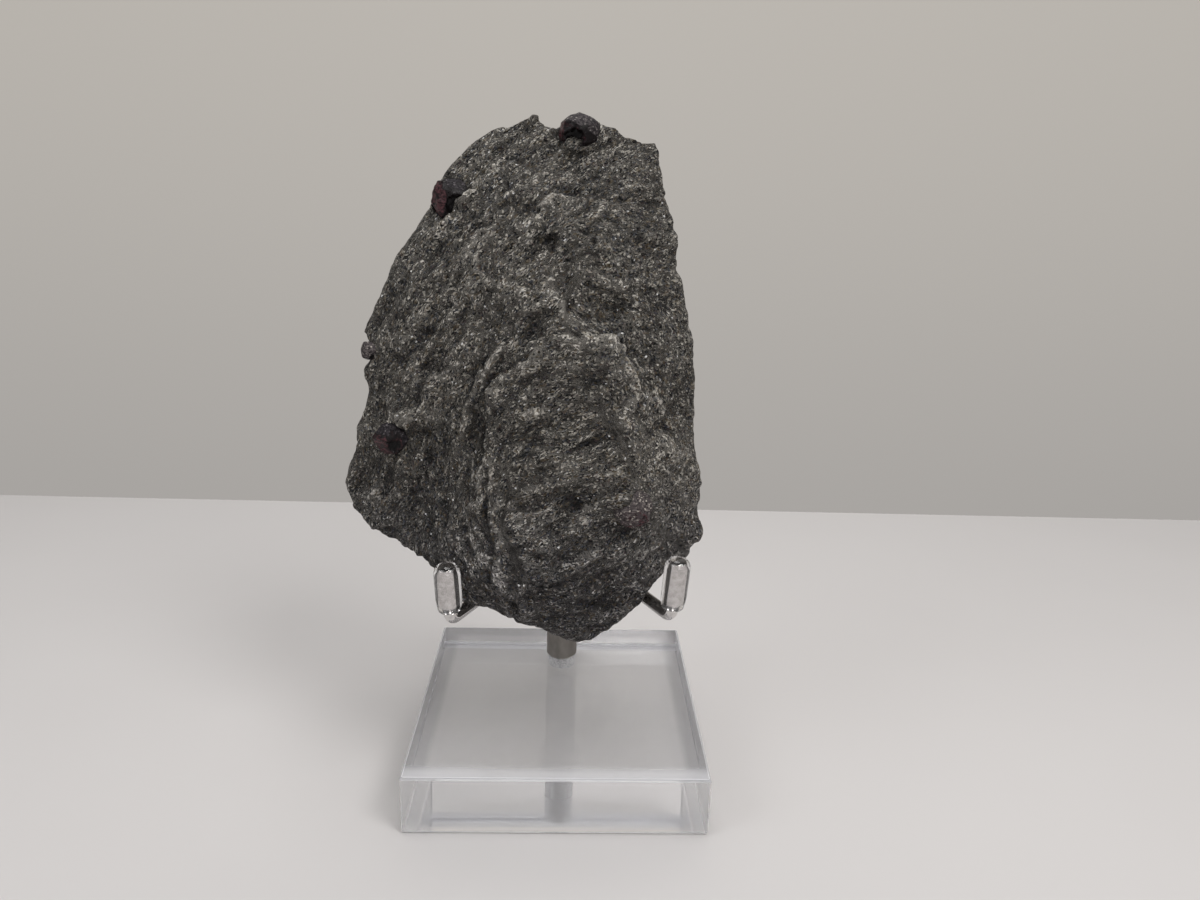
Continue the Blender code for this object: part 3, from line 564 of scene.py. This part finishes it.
# Across a ledge, in mm from its line: half the width of its rise and the power of its fall behind, the groove at its
# foot as a share of its height and its width, then the place and width of the crest's painted light, and the strength,
# place and width of the painted shade at its foot.
LEDGE_RISE, LEDGE_FALL = 0.5, 1.5
GROOVE_DEPTH, GROOVE_WIDTH = 0.45, 1.6
CREST_PLACE, CREST_WIDTH = 0.5, 1.0
FOOT_SHADE, FOOT_PLACE, FOOT_WIDTH = 0.3, 1.1, 0.9
# Knobs and hollows: x, z, half width, half height, turn in degrees, height and paleness, which is painted light and
# shade: mostly paler on knobs and darker in hollows, and with no height, paler or darker patches, darkest low on the
# slab.
KNOBS = (
    (-0.5, 143.5, 5.2, 5.2, 0, 0.9, -0.25), (-4, 141.8, 2.0, 1.3, 10, -1.8, -0.6), (-8, 122, 3.2, 1.5, 38, -1.5, -0.5),
    (12, 128, 3, 2.0, 20, -0.8, -0.3), (6, 109, 6, 4, 10, -0.6, -0.35), (7.5, 98, 4.6, 1.7, 22, -1.3, -0.8),
    (-8.5, 98, 5, 2.2, 5, -0.9, -0.5), (-12, 93.6, 3.6, 1.0, 0, -1.0, -0.7), (2.2, 83, 5, 3.6, 10, -1.0, -0.5),
    (14, 76, 5.5, 3, 25, -0.9, -0.5), (-32, 118.5, 3, 1.6, 45, -1.2, -0.6), (-33, 112, 3, 1.8, 45, -1.1, -0.6),
    (-30, 138, 3.5, 1.8, 45, -0.8, -0.5), (-33, 91, 6.5, 4, 90, -0.7, -0.4), (-34, 79, 9, 7, 0, -0.8, -0.35),
    (-23.4, 85, 2.2, 6, 0, -0.8, -0.35), (-22, 97, 1.6, 5, -12, -0.7, -0.35), (-41, 102, 3, 2, 0, -0.5, -0.4),
    (18, 143, 4, 3, 0, -0.6, -0.35), (23, 127, 3.6, 3.6, 0, -0.7, -0.4), (30.5, 107, 2.6, 5, 0, -0.7, -0.6),
    (5.5, 130, 4, 2.6, -20, -0.5, -0.35), (9, 57, 6, 4, 0, -0.9, -0.4), (8.5, 152, 6, 3.6, 0, -0.6, -0.3),
    (-16, 160, 4, 2.6, 30, -0.5, -0.3), (-16.5, 112, 1.5, 5.5, -28, -1.1, -0.6), (-18, 102, 1.3, 5, -8, -1.0, -0.6),
    (-38, 99.5, 4, 2.6, 20, 0.9, 0.5), (-32.5, 107.5, 4.5, 2, 35, 0.6, 0.3), (-13, 133.5, 4, 2.8, 10, 0.6, 0.25),
    (-3.5, 130.5, 3, 1.6, 0, 0.6, 0.4), (-4.6, 151, 2.5, 1.8, 0, 0.7, 0.5), (7.6, 145.5, 2.2, 3, 0, 0.6, 0.35),
    (22, 93, 5.5, 6, 0, 0.5, 0.35), (-7.5, 104.5, 4, 2, 15, 0.5, 0.3), (14, 104, 3.6, 2.4, 0, 0.6, 0.35),
    (1, 91.5, 3, 2, 20, 0.5, 0.3), (-5, 79.5, 3.6, 1.6, 0, 0.5, 0.3), (-10, 78, 2.6, 1.4, 10, 0.4, 0.35),
    (-11.5, 95.6, 1.7, 0.8, 20, 0.5, 0.9), (5.5, 94, 3, 1, 0, 0.5, 0.5), (0, 87.8, 2.4, 1, 28, 0.5, 0.8),
    (-17.6, 67, 1.1, 1.6, 30, 0.4, 0.8), (30, 86, 4, 7, 0, 0.3, 0.2), (-26, 128, 6, 3.5, 50, 0.3, 0.1),
    (12, 156, 6, 4, 0, 0.3, 0.15), (-30, 64, 5, 4, -30, -0.2, -0.35), (-22, 60, 5, 5, 0, -0.2, -0.5),
    (2, 54, 16, 9, 0, 0.0, -0.8), (-40, 84, 10, 12, 0, 0.0, -0.35), (2, 63, 16, 4, 0, 0.0, -0.3),
    (-15, 140, 12, 12, 0, 0.0, 0.12), (30, 70, 4, 5, 0, 0.0, -0.15), (12, 150, 14, 9, 0, 0.0, -0.15),
    (-28, 122, 12, 14, 0, 0.0, 0.15), (0, 126, 10, 9, 0, 0.0, 0.2), (2, 106, 12, 9, 0, 0.0, 0.15),
    (28, 82, 8, 12, 0, 0.0, 0.2), (-36, 68, 12, 10, 0, 0.0, -0.4), (2, 74, 16, 8, 0, 0.0, -0.15),
)
# Where the rock closes round each crystal: a point off its centre and the way out, so that it hides the rest.
GARNET_BEDS = {
    "garnet_top": ((0, -0.4, 0.2), (-0.1, -0.7, 0.7)),
    "garnet_upper_left": ((1.0, -1.2, -0.3), (-0.75, -0.6, 0.3)),
    "garnet_left_edge": ((0.2, -0.2, 0), (-0.8, -0.5, 0.1)),
    "garnet_lower_left": ((0, -1.4, 0), (0.05, -1, 0.1)),
    "garnet_lower_right": ((0, -2.4, 0), (0.1, -1, 0.1)),
}
PLUG_GROWTH = 1.25
# Brings the noise, which seldom passes 0.6, to about 1.
NOISE_GAIN = 1.6


def eased(value, low, high):
    """From 0 to 1 as the value goes from low to high."""
    share = np.clip((value - low) / (high - low), 0, 1)
    return share * share * (3 - 2 * share)


def lumpy(places, sizes, seed):
    """Rounded random lumps, from about -1 to 1, of a size in mm along each axis."""
    scaled = places / np.array(sizes, dtype=float) + np.array((seed * 7.3, seed * 3.1, seed * 5.7))
    return np.array([noise.noise(place) for place in scaled.tolist()]) * NOISE_GAIN


def streak_turn(places):
    """Direction of the bed edges at each place, in radians from 0 to pi."""
    x, _, z = places.T
    total = np.zeros(len(places), complex)
    for spot_x, spot_z, degrees in STREAKS:
        weight = ((x - spot_x) ** 2 + (z - spot_z) ** 2 + STREAK_CORE) ** STREAK_FALL
        total += weight * np.exp(2j * math.radians(degrees))
    return (np.angle(total) / 2) % math.pi


def turned_places(places, turn):
    """Places along the bed edges, out of the slab and across the beds."""
    x, y, z = places.T
    across = z * np.cos(turn) - x * np.sin(turn) + BED_DIP * y
    return np.column_stack([x * np.cos(turn) + z * np.sin(turn), y, across])


def along_beds(places, turn, height_of):
    """A bedded relief whose beds turn with the rock, made from patches of fixed direction eased into each other."""
    total = np.zeros(len(places))
    shares = np.zeros(len(places))
    for step in range(TURNS):
        own = math.pi * step / TURNS
        apart = np.abs((turn - own + math.pi / 2) % math.pi - math.pi / 2)
        share = np.clip(1 - apart * TURNS / math.pi, 0, 1)
        near = share > 0
        if near.any():
            total[near] += share[near] * height_of(turned_places(places[near], own))
            shares[near] += share[near] ** 2
    return total / np.sqrt(shares)


def split_beds(beds, spacing, length, seed):
    """Each bed broken back by its own amount, with a sharp step to the next."""
    layer = beds[:, 2] / spacing + BED_WAVER * lumpy(beds, (BED_WAVE,) * 3, seed + 9)
    low = np.floor(layer)
    step = eased(layer - low, BED_STEP_START, 1.0)
    heights = []
    for index in (low, low + 1):
        spots = np.column_stack([beds[:, 0] / length, beds[:, 1] / length, index * NEXT_BED + seed])
        heights.append(np.array([noise.noise(spot) for spot in spots.tolist()]) * NOISE_GAIN)
    return heights[0] + (heights[1] - heights[0]) * step


def ragged(places):
    """Places pushed about a little, so that nothing laid out from them is smooth."""
    moves = [1.1 * lumpy(places, (5, 5, 5), seed) + 0.6 * lumpy(places, (1.7, 1.7, 1.7), seed + 1) for seed in (21, 23)]
    return places[:, 0] + moves[0], places[:, 2] + moves[1]


def ledge_relief(places):
    """Height of the ledges, sharp on the left of each line with a groove at its foot, and their painted light and
    shade.
    """
    x, z = ragged(places)
    fading = 0.75 + 0.6 * lumpy(places, (6, 6, 6), 25)
    height = np.zeros(len(places))
    paleness = np.zeros(len(places))
    for path, proud, reach, pale in LEDGES:
        nearest = np.full(len(places), 1e9)
        side = np.zeros(len(places))
        for (x0, z0), (x1, z1) in zip(path, path[1:]):
            run_x, run_z = x1 - x0, z1 - z0
            share = np.clip(((x - x0) * run_x + (z - z0) * run_z) / (run_x ** 2 + run_z ** 2), 0, 1)
            off_x, off_z = x - x0 - share * run_x, z - z0 - share * run_z
            distance = np.hypot(off_x, off_z)
            closer = distance < nearest
            nearest = np.where(closer, distance, nearest)
            side = np.where(closer, np.sign(run_z * off_x - run_x * off_z), side)
        signed = nearest * side
        rise = eased(signed, -LEDGE_RISE, LEDGE_RISE)
        groove = GROOVE_DEPTH * (1 - rise) * np.exp(-(nearest / GROOVE_WIDTH) ** 2)
        height += proud * (rise * np.exp(-(nearest / reach) ** LEDGE_FALL) - groove)
        # Painted light on the crest and painted shade at the foot.
        crest = np.exp(-((signed - CREST_PLACE) / CREST_WIDTH) ** 2)
        foot = np.exp(-((signed + FOOT_PLACE) / FOOT_WIDTH) ** 2)
        paleness += pale * crest - FOOT_SHADE * foot
    return height * fading, paleness * fading


def knob_relief(places):
    """Height of the knobs and hollows, and their paleness, painted light and shade."""
    x, z = ragged(places)
    height = np.zeros(len(places))
    paleness = np.zeros(len(places))
    for centre_x, centre_z, half_width, half_height, degrees, proud, pale in KNOBS:
        turn = math.radians(degrees)
        along = (x - centre_x) * math.cos(turn) + (z - centre_z) * math.sin(turn)
        across = (z - centre_z) * math.cos(turn) - (x - centre_x) * math.sin(turn)
        share = np.exp(-((along / half_width) ** 2 + (across / half_height) ** 2))
        height += proud * share
        paleness += pale * share
    return height, paleness


def spread(values, edges, rounds):
    """Average over neighbouring points, again and again."""
    start, end = edges.T
    count = np.bincount(start, minlength=len(values)) + np.bincount(end, minlength=len(values))
    for _ in range(rounds):
        total = np.bincount(start, values[end], len(values)) + np.bincount(end, values[start], len(values))
        values = total / count
    return values


def bed_plug(name):
    """A garnet's own form grown a little and cut flat where the rock closes round it."""
    bm = bmesh.new()
    bm.from_mesh(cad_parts[name].data)
    bmesh.ops.remove_doubles(bm, verts=bm.verts, dist=SAME_SPOT * MM)
    centre = sum((vert.co for vert in bm.verts), Vector()) / len(bm.verts)
    for vert in bm.verts:
        vert.co = centre + (vert.co - centre) * PLUG_GROWTH
    offset, way_out = GARNET_BEDS[name]
    geometry = bm.verts[:] + bm.edges[:] + bm.faces[:]
    cut = bmesh.ops.bisect_plane(
        bm, geom=geometry, plane_co=centre + Vector(offset) * MM, plane_no=way_out, clear_outer=True)
    rim = [item for item in cut["geom_cut"] if isinstance(item, bmesh.types.BMEdge)]
    bmesh.ops.contextual_create(bm, geom=rim)
    mesh = bpy.data.meshes.new(name + "_plug")
    bm.to_mesh(mesh)
    bm.free()
    return mesh


def even_skin(name):
    """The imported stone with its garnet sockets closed, as one even smooth skin."""
    whole = bmesh.new()
    whole.from_mesh(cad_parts["matrix"].data)
    for garnet in GARNET_BEDS:
        whole.from_mesh(bed_plug(garnet))
    mesh = bpy.data.meshes.new(name)
    whole.to_mesh(mesh)
    whole.free()
    rough = bpy.data.objects.new(name, mesh)
    bpy.context.scene.collection.objects.link(rough)
    remesh = rough.modifiers.new("even", "REMESH")
    remesh.mode = "VOXEL"
    remesh.voxel_size = STONE_VOXEL * MM
    smooth = rough.modifiers.new("soft", "SMOOTH")
    smooth.factor = 0.5
    smooth.iterations = STONE_SMOOTHING
    graph = bpy.context.evaluated_depsgraph_get()
    skin = bpy.data.meshes.new_from_object(rough.evaluated_get(graph))
    bpy.data.objects.remove(rough)
    return skin


def points_of(mesh):
    """Places of a mesh's points in mm."""
    points = np.zeros(len(mesh.vertices) * 3, np.float32)
    mesh.vertices.foreach_get("co", points)
    return points.reshape(-1, 3).astype(float) / MM


def normals_of(mesh):
    """The way out of a mesh at each of its points."""
    normals = np.zeros(len(mesh.vertices) * 3, np.float32)
    mesh.vertex_normals.foreach_get("vector", normals)
    return normals.reshape(-1, 3).astype(float)


def keep_values(mesh, name, values):
    """Store a number or a place at each point for the finish to read."""
    kind = "FLOAT" if values.ndim == 1 else "FLOAT_VECTOR"
    field = "value" if values.ndim == 1 else "vector"
    mesh.attributes.new(name, kind, "POINT").data.foreach_set(field, values.astype(np.float32).ravel())


def off_line(places, start, end):
    """Distance of each place from a straight line between two points, in mm."""
    start, run = np.array(start), np.array(end) - np.array(start)
    share = np.clip((places - start) @ run / (run @ run), 0, 1)
    return np.linalg.norm(places - start - share[:, None] * run, axis=1)


stone_mesh = even_skin("stone")
edges = np.zeros(len(stone_mesh.edges) * 2, np.int32)
stone_mesh.edges.foreach_get("vertices", edges)
edges = edges.reshape(-1, 2)
places = points_of(stone_mesh)
outward = np.column_stack([spread(axis, edges, FACING_ROUNDS) for axis in normals_of(stone_mesh).T])
outward /= np.linalg.norm(outward, axis=1)[:, None]
turn = streak_turn(places)
in_front = eased(-outward[:, 1], 0.1, 0.5)
# The relief: split beds, lumps and pits, weaker on the slab's edges, then the ledges and knobs of its front.
ledge_height, ledge_paleness = ledge_relief(places)
knob_height, knob_paleness = knob_relief(places)
relief = along_beds(places, turn, lambda beds: sum(
    proud * split_beds(beds, spacing, length, seed) for seed, (proud, spacing, length) in enumerate(BEDS, 1)))
relief += sum(proud * lumpy(places, size, seed) for seed, (proud, size) in enumerate(LUMPS, LUMPS_SEED))
relief -= PIT_DEPTH * eased(lumpy(places, PIT_SIZE, 7), 0.6, 0.95)
relief *= EDGE_SHARE + (1 - EDGE_SHARE) * eased(np.abs(outward[:, 1]), 0.2, 0.6)
relief += in_front * (LEDGE_SHARE * ledge_height + KNOB_SHARE * knob_height)
# It fades out beside the arms and the sleeves, so that nothing cuts into them.
clear_of = np.full(len(places), 1e9)
for side in PRONG_FEET:
    foot, along, up = prong_line(side)
    clear_of = np.minimum(clear_of, off_line(places, foot, foot - along * ARM_REACH))
    clear_of = np.minimum(clear_of, off_line(places, foot, prong_tip(side)) - SLEEVE_ALLOWANCE)
relief *= eased(clear_of, CLEAR_FROM, CLEAR_TO)
# Painted light and shade: what stands above the rock around it is painted paler, and the hollows darker.
raised_over_around = relief - spread(relief, edges, AROUND_ROUNDS)
worn = places + outward * relief[:, None]
stone_mesh.vertices.foreach_set("co", (worn * MM).astype(np.float32).ravel())
stone_mesh.update()
paleness = np.clip(raised_over_around / PALEST_HEIGHT, -1, 1) + in_front * (LEDGE_PALENESS * ledge_paleness + knob_paleness)
jitter = TURN_JITTER * lumpy(places, JITTER_SIZE, 11)
snapped = np.round((turn + jitter) * TURNS / math.pi) * math.pi / TURNS
keep_values(stone_mesh, "bedding", turned_places(places, snapped))
keep_values(stone_mesh, "paleness", paleness)

schist, schist_shader, place = new_finish("garnet_schist", Roughness=0.6, Specular_IOR_Level=0.25)
grain = place.stored("bedding", "Vector")
# The stored paleness is painted light and shade, added to the rock's tone.
pale = place.stored("paleness")
swirl = grain.node("ShaderNodeTexNoise", None, {"Vector": grain.stretched(1.6, 1.6, 1.6), "Scale": 1.0}, "Color")
bent = grain.vector("ADD", grain, grain.vector("MULTIPLY", swirl, (0.8, 0.8, 0.8)))
# Mica flakes, and the smaller chips of quartz, feldspar and mica between them.
flake_colour = bent.stretched(0.95, 0.75, 0.4).cells()
chip_colour = bent.stretched(0.43, 0.37, 0.29).cells()
flake_shade, flake_tint, flake_shine = flake_colour.channels()
chip_shade, chip_tint, chip_shine = chip_colour.channels()
patches = grain.stretched(7, 6, 3.2).lumps(3.0, 0.6)
streaks = bent.stretched(6, 4, 0.6).lumps(3.0, 0.6)
bands = bent.stretched(15, 9, 1.5).lumps(2.0, 0.5)
shade = flake_shade * 0.22 + chip_shade * 0.76 + (patches - 0.5) * 0.22
shade = shade + (streaks - 0.5) * 0.75 + (bands - 0.5) * 0.55 + pale * 0.22
rock = shade.node("ShaderNodeValToRGB", {"stops": (
    (0.0, (0.003, 0.003, 0.0033)), (0.26, (0.0105, 0.0105, 0.010)), (0.46, (0.054, 0.052, 0.047)),
    (0.66, (0.168, 0.159, 0.14)), (0.84, (0.33, 0.315, 0.28)), (1.0, (0.52, 0.5, 0.46)))}, {"Fac": shade})
rock = ((flake_tint > 0.86) * 0.4).blended(rock, (0.13, 0.098, 0.055, 1))
rock = ((chip_tint > 0.85) * 0.45).blended(rock, (0.072, 0.08, 0.105, 1))
rock = ((chip_tint < 0.12) * 0.4).blended(rock, (0.085, 0.058, 0.058, 1))
_, _, stone_height = place.axes()
tint = stone_height.eased(55, 95).blended((0.91, 0.91, 0.975, 1), (0.985, 0.97, 0.955, 1))
rock = rock.vector("MULTIPLY", rock, tint)
# Painted glints: a rare chip gets a near-white base colour, as if it caught the light, and is made glossier.
painted_glint = chip_shine > 0.996
rock = (painted_glint * 0.7).blended(rock, (0.8, 0.8, 0.8, 1))
rock.feed(schist_shader, "Base Color")
mica = (chip_shine > 0.72) * (flake_shine > 0.5)
(0.72 - 0.4 * mica - 0.1 * flake_shine - 0.1 * painted_glint).feed(schist_shader, "Roughness")
# Each chip faces its own way, so that the mica glitters.
surface_normal = place.node("ShaderNodeNewGeometry", output="Normal")
lean = chip_colour.vector("SUBTRACT", chip_colour, (0.5, 0.5, 0.5))
tilted = lean.vector("ADD", surface_normal, lean.vector("MULTIPLY", lean, (1.3, 1.3, 1.3)))
tilted = tilted.vector("NORMALIZE", tilted)
fine = bent.stretched(0.6, 0.5, 0.35).lumps(2.0, 0.6)
(fine + flake_shade * 0.4 + streaks * 0.7).emboss(schist_shader, 0.00025, 0.9, Normal=tilted)
shown(stone_mesh, "stone", "matrix", schist, crease=60)


# Garnets: dark plum crystals with twelve lozenge faces, grown in the rock and half hidden in it.
# Their faces are waxy and worn, and each is coloured by the way it turns: faces turned away are painted almost black as
# shade, some show the red of the glass, and the upward ones wear a grey coat of mica that is partly painted sheen of
# the light from above.
SAME_CORNER = 0.02
GARNET_CUTS = 9
GARNET_WEAR_ROUNDS = 14
# How round each is worn and its height left, the ways its red faces look, the ways its mica-coated faces look (coat and
# painted sheen), its chipped hollow (a way out of the crystal, how wide it is in degrees, how deep in shares of the
# radius; its floor is painted almost black as shade) and how dusty it is.
GARNET_FACES = {
    "garnet_top": (
        0.7, 0.86, ((-1, -0.2, -0.1),), ((0, -0.3, 1), (0.9, -0.4, 0.5)), ((-0.3, -1, -0.38), 30, 0.4), 0.3),
    "garnet_upper_left": (
        0.45, 1.0, ((-0.9, -0.6, 0.1),), ((0.3, -0.1, 1),), ((0.35, -1, -0.3), 34, 0.22), 0),
    "garnet_left_edge": (
        0.4, 0.92, ((0, 1, 0),), ((0, -0.4, 1), (0.5, -1, 0), (-0.8, -0.6, 0)), ((0.3, -0.9, -0.7), 22, 0.12), 0.7),
    "garnet_lower_left": (
        0.4, 1.0, ((-0.45, -0.9, -0.4),), ((0, -0.3, 1), (0.9, -0.3, 0.3)), ((0.3, -1, -0.25), 26, 0.12), 0),
    "garnet_lower_right": (
        0.55, 1.0, ((0.35, -1, -0.45),), ((-0.2, -0.4, 1), (-0.9, -0.5, 0.2), (-0.5, -1, -0.1), (0.8, -0.6, 0.5)),
        ((0, 1, 0), 18, 0.1), 1),
}
# Sizes of the lumps on the worn faces in mm, with how far they swell or sink as shares of the crystal's size.
GARNET_LUMPS = ((2.3, 0.08), (0.9, 0.045))
GARNET_SWELL = 1.06
# The hollows' ragged rims: size of a notch in mm and its depth, then where the floor starts in shares of the width.
CHIP_EDGE_SIZE = 0.8
CHIP_RAGGEDNESS = 0.06
CHIP_FLOOR = 0.55


def turned_towards(normals, ways):
    """From 0 to 1 for how squarely each point looks one of the ways."""
    ways = [np.array(way) / np.linalg.norm(way) for way in ways]
    return eased(np.max([normals @ way for way in ways], axis=0), 0.62, 0.86)


garnet_glass, garnet_shader, place = new_finish(
    "garnet", Base_Color=(0.03, 0.014, 0.017, 1), Roughness=0.35, IOR=1.77, Specular_IOR_Level=0.1)
rosy, crusted, chipped, dusty = [place.stored(name) for name in ("rosy", "crusted", "chipped", "dusty")]
cracks = place.stretched(1.2, 1.2, 0.5).lumps(4.0, 0.65)
crust_shade, _, crust_shine = place.stretched(0.4, 0.4, 0.3).cells().channels()
# The grey mica coat on the upward faces is partly painted sheen of the light from above.
crust_and_sheen_patch = (crusted + (place.stretched(1.6, 1.6, 1.2).lumps(4.0, 0.7) - 0.5) * 1.6).eased(0.35, 0.6)
red = cracks.eased(0.3, 0.75).blended((0.016, 0.006, 0.0075, 1), (0.12, 0.05, 0.057, 1))
# Painted shade: faces turned none of the red ways are painted almost black.
body = (rosy * cracks.eased(0.3, 0.6)).blended((0.006, 0.004, 0.0045, 1), red)
crust_and_sheen_colour = crust_shade.node("ShaderNodeValToRGB", {"stops": (
    (0.0, (0.007, 0.006, 0.0075)), (0.6, (0.026, 0.022, 0.026)), (0.9, (0.055, 0.048, 0.053)),
    (1.0, (0.17, 0.155, 0.16)))}, {"Fac": crust_shade})
crust_and_sheen_colour = crust_and_sheen_colour.vector("MULTIPLY", crust_and_sheen_colour, dusty.blended((1, 1, 1, 1), (3.6, 3.6, 3.1, 1)))
# Painted shade: the chipped hollow is painted almost black.
skin = chipped.blended((crust_and_sheen_patch * 0.85).blended(body, crust_and_sheen_colour), (0.002, 0.0016, 0.0018, 1))
skin.feed(garnet_shader, "Base Color")
(0.34 + 0.3 * crust_and_sheen_patch - 0.2 * (crust_shine > 0.85) + 0.12 * cracks).feed(garnet_shader, "Roughness")
(cracks * 0.6 + crust_shade * crust_and_sheen_patch).emboss(garnet_shader, 0.00025, 0.8)
for name, looks in GARNET_FACES.items():
    roundness, height_left, rosy_ways, crust_and_sheen_ways, (chip_way, chip_width, chip_depth), dust = looks
    bm = bmesh.new()
    bm.from_mesh(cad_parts[name].data)
    bmesh.ops.remove_doubles(bm, verts=bm.verts, dist=SAME_CORNER * MM)
    centre = sum((vert.co for vert in bm.verts), Vector()) / len(bm.verts)
    size = max((vert.co - centre).length for vert in bm.verts)
    bmesh.ops.subdivide_edges(bm, edges=bm.edges, cuts=GARNET_CUTS, use_grid_fill=True)
    for _ in range(GARNET_WEAR_ROUNDS):
        bmesh.ops.smooth_vert(bm, verts=bm.verts, factor=0.5, use_axis_x=True, use_axis_y=True, use_axis_z=True)
    chip_way = Vector(chip_way).normalized()
    rim, floor = math.cos(math.radians(chip_width)), math.cos(math.radians(chip_width * CHIP_FLOOR))
    hollows = []
    for vert in bm.verts:
        spot = vert.co / MM
        away = vert.co - centre
        uneven = CHIP_RAGGEDNESS * noise.noise(spot / CHIP_EDGE_SIZE)
        hollow = float(eased(away.normalized().dot(chip_way) + uneven, rim, floor))
        hollows.append(hollow)
        swell = GARNET_SWELL
        for lump_size, proud in GARNET_LUMPS:
            swell += proud * noise.noise(spot / lump_size)
        away *= 1 - roundness + roundness * 0.9 * size / away.length
        away.z *= height_left
        vert.co = centre + away * swell - chip_way * (size * chip_depth * hollow)
    mesh = bpy.data.meshes.new(name + "_crystal")
    bm.to_mesh(mesh)
    bm.free()
    facing = normals_of(mesh)
    keep_values(mesh, "rosy", turned_towards(facing, rosy_ways))
    keep_values(mesh, "crusted", turned_towards(facing, crust_and_sheen_ways))
    keep_values(mesh, "chipped", np.array(hollows))
    keep_values(mesh, "dusty", np.full(len(facing), float(dust)))
    shown(mesh, name + "_crystal", name, garnet_glass, crease=50)


# Setting: a pale painted shelf with a plain wall far behind it, and soft light from above on both sides.
# The camera stands a little above the stone's middle and looks slightly down.
SHELF_BACK = 194.0
SHELF_SKEW = 12
SHELF_REACH = 1500
SHELF_TOP = -0.05
CAMERA_PLACE = (1.5, -217.2, 153.6)
CAMERA_DOWN, CAMERA_TURN, CAMERA_ROLL = math.radians(16.68), math.radians(-2.11), math.radians(1.79)
CAMERA_LENS = 26.02
SENSOR_WIDTH = 36
CLIP_START = 0.01
WALL_PLACE = 620.0
WALL_REACH = 2500
WALL_FOOT, WALL_TOP = -900, 1500
ROOM_LIGHT = 0.19
# Lamps: place and aim in mm, width in mm, power in watts and colour.
LAMPS = (
    ("key", (330, -330, 620), (0, 0, 70), 300, 1.95, (1.0, 0.985, 0.97)),
    ("fill", (-480, -260, 420), (0, 0, 80), 300, 0.65, (0.97, 0.985, 1.0)),
    ("top", (0, -20, 720), (0, 0, 60), 420, 1.7, (1.0, 0.99, 0.98)),
    ("front", (120, -760, 300), (0, 0, 100), 360, 0.9, (1.0, 0.985, 0.97)),
    ("back", (60, 600, 560), (0, 0, 40), 1100, 1.1, (0.97, 0.98, 1.0)),
)


def plain_sheet(name, corners, material):
    """A flat sheet of the setting, from its corners in mm."""
    mesh = bpy.data.meshes.new(name)
    mesh.from_pydata([Vector(corner) * MM for corner in corners], [], [(0, 1, 2, 3)])
    mesh.materials.append(material)
    sheet = bpy.data.objects.new(name, mesh)
    bpy.context.scene.collection.objects.link(sheet)


shelf_paint, shelf_shader, place = new_finish("shelf_paint", Base_Color=(0.665, 0.645, 0.64, 1), Roughness=0.6)
shelf_tone = place.stretched(60, 60, 60).lumps(2.0).blended((0.675, 0.655, 0.65, 1), (0.655, 0.635, 0.63, 1))
shelf_tone.feed(shelf_shader, "Base Color")
# Painted light: the wall glows by its own emission, brighter towards the top.
glowing_wall, wall_shader, place = new_finish(
    "glowing_wall", Base_Color=(0.12, 0.115, 0.11, 1), Roughness=0.9, Specular_IOR_Level=0.0, Emission_Strength=1.0)
_, _, wall_height = place.axes()
wall_glow = wall_height.eased(-250, 400).blended((0.345, 0.33, 0.315, 1), (0.43, 0.405, 0.37, 1))
wall_glow.feed(wall_shader, "Emission Color")
plain_sheet("shelf", (
    (-SHELF_REACH, -SHELF_REACH, SHELF_TOP), (SHELF_REACH, -SHELF_REACH, SHELF_TOP),
    (SHELF_REACH, SHELF_BACK - SHELF_SKEW, SHELF_TOP), (-SHELF_REACH, SHELF_BACK + SHELF_SKEW, SHELF_TOP),
), shelf_paint)
plain_sheet("wall", (
    (-WALL_REACH, WALL_PLACE, WALL_FOOT), (WALL_REACH, WALL_PLACE, WALL_FOOT),
    (WALL_REACH, WALL_PLACE, WALL_TOP), (-WALL_REACH, WALL_PLACE, WALL_TOP),
), glowing_wall)

for name, lamp_place, aim, size, power, colour in LAMPS:
    lamp = bpy.data.lights.new(name, "AREA")
    lamp.shape = "DISK"
    lamp.size = size * MM
    lamp.energy = power
    lamp.color = colour
    holder = bpy.data.objects.new(name, lamp)
    holder.location = Vector(lamp_place) * MM
    holder.rotation_euler = (Vector(aim) - Vector(lamp_place)).to_track_quat("-Z", "Y").to_euler()
    holder.visible_camera = False
    bpy.context.scene.collection.objects.link(holder)

world = bpy.data.worlds.new("room")
world.use_nodes = True
room_light = world.node_tree.nodes["Background"]
room_light.inputs["Color"].default_value = (0.97, 0.98, 1.0, 1)
room_light.inputs["Strength"].default_value = ROOM_LIGHT
bpy.context.scene.world = world
bpy.context.scene.view_settings.view_transform = "Standard"

turn = Matrix.Rotation(CAMERA_TURN, 3, "Z")
right = turn @ Vector((1, 0, 0))
ahead = turn @ Vector((0, math.cos(CAMERA_DOWN), -math.sin(CAMERA_DOWN)))
above = right.cross(ahead)
camera_data = bpy.data.cameras.new("camera")
camera_data.lens = CAMERA_LENS
camera_data.sensor_width = SENSOR_WIDTH
camera_data.clip_start = CLIP_START
camera = bpy.data.objects.new("camera", camera_data)
bpy.context.scene.collection.objects.link(camera)
rolled_right = right * math.cos(CAMERA_ROLL) + above * math.sin(CAMERA_ROLL)
rolled_up = above * math.cos(CAMERA_ROLL) - right * math.sin(CAMERA_ROLL)
camera.matrix_world = Matrix.Translation(Vector(CAMERA_PLACE) * MM) @ Matrix(
    (rolled_right, rolled_up, -ahead)).transposed().to_4x4()
bpy.context.scene.camera = camera
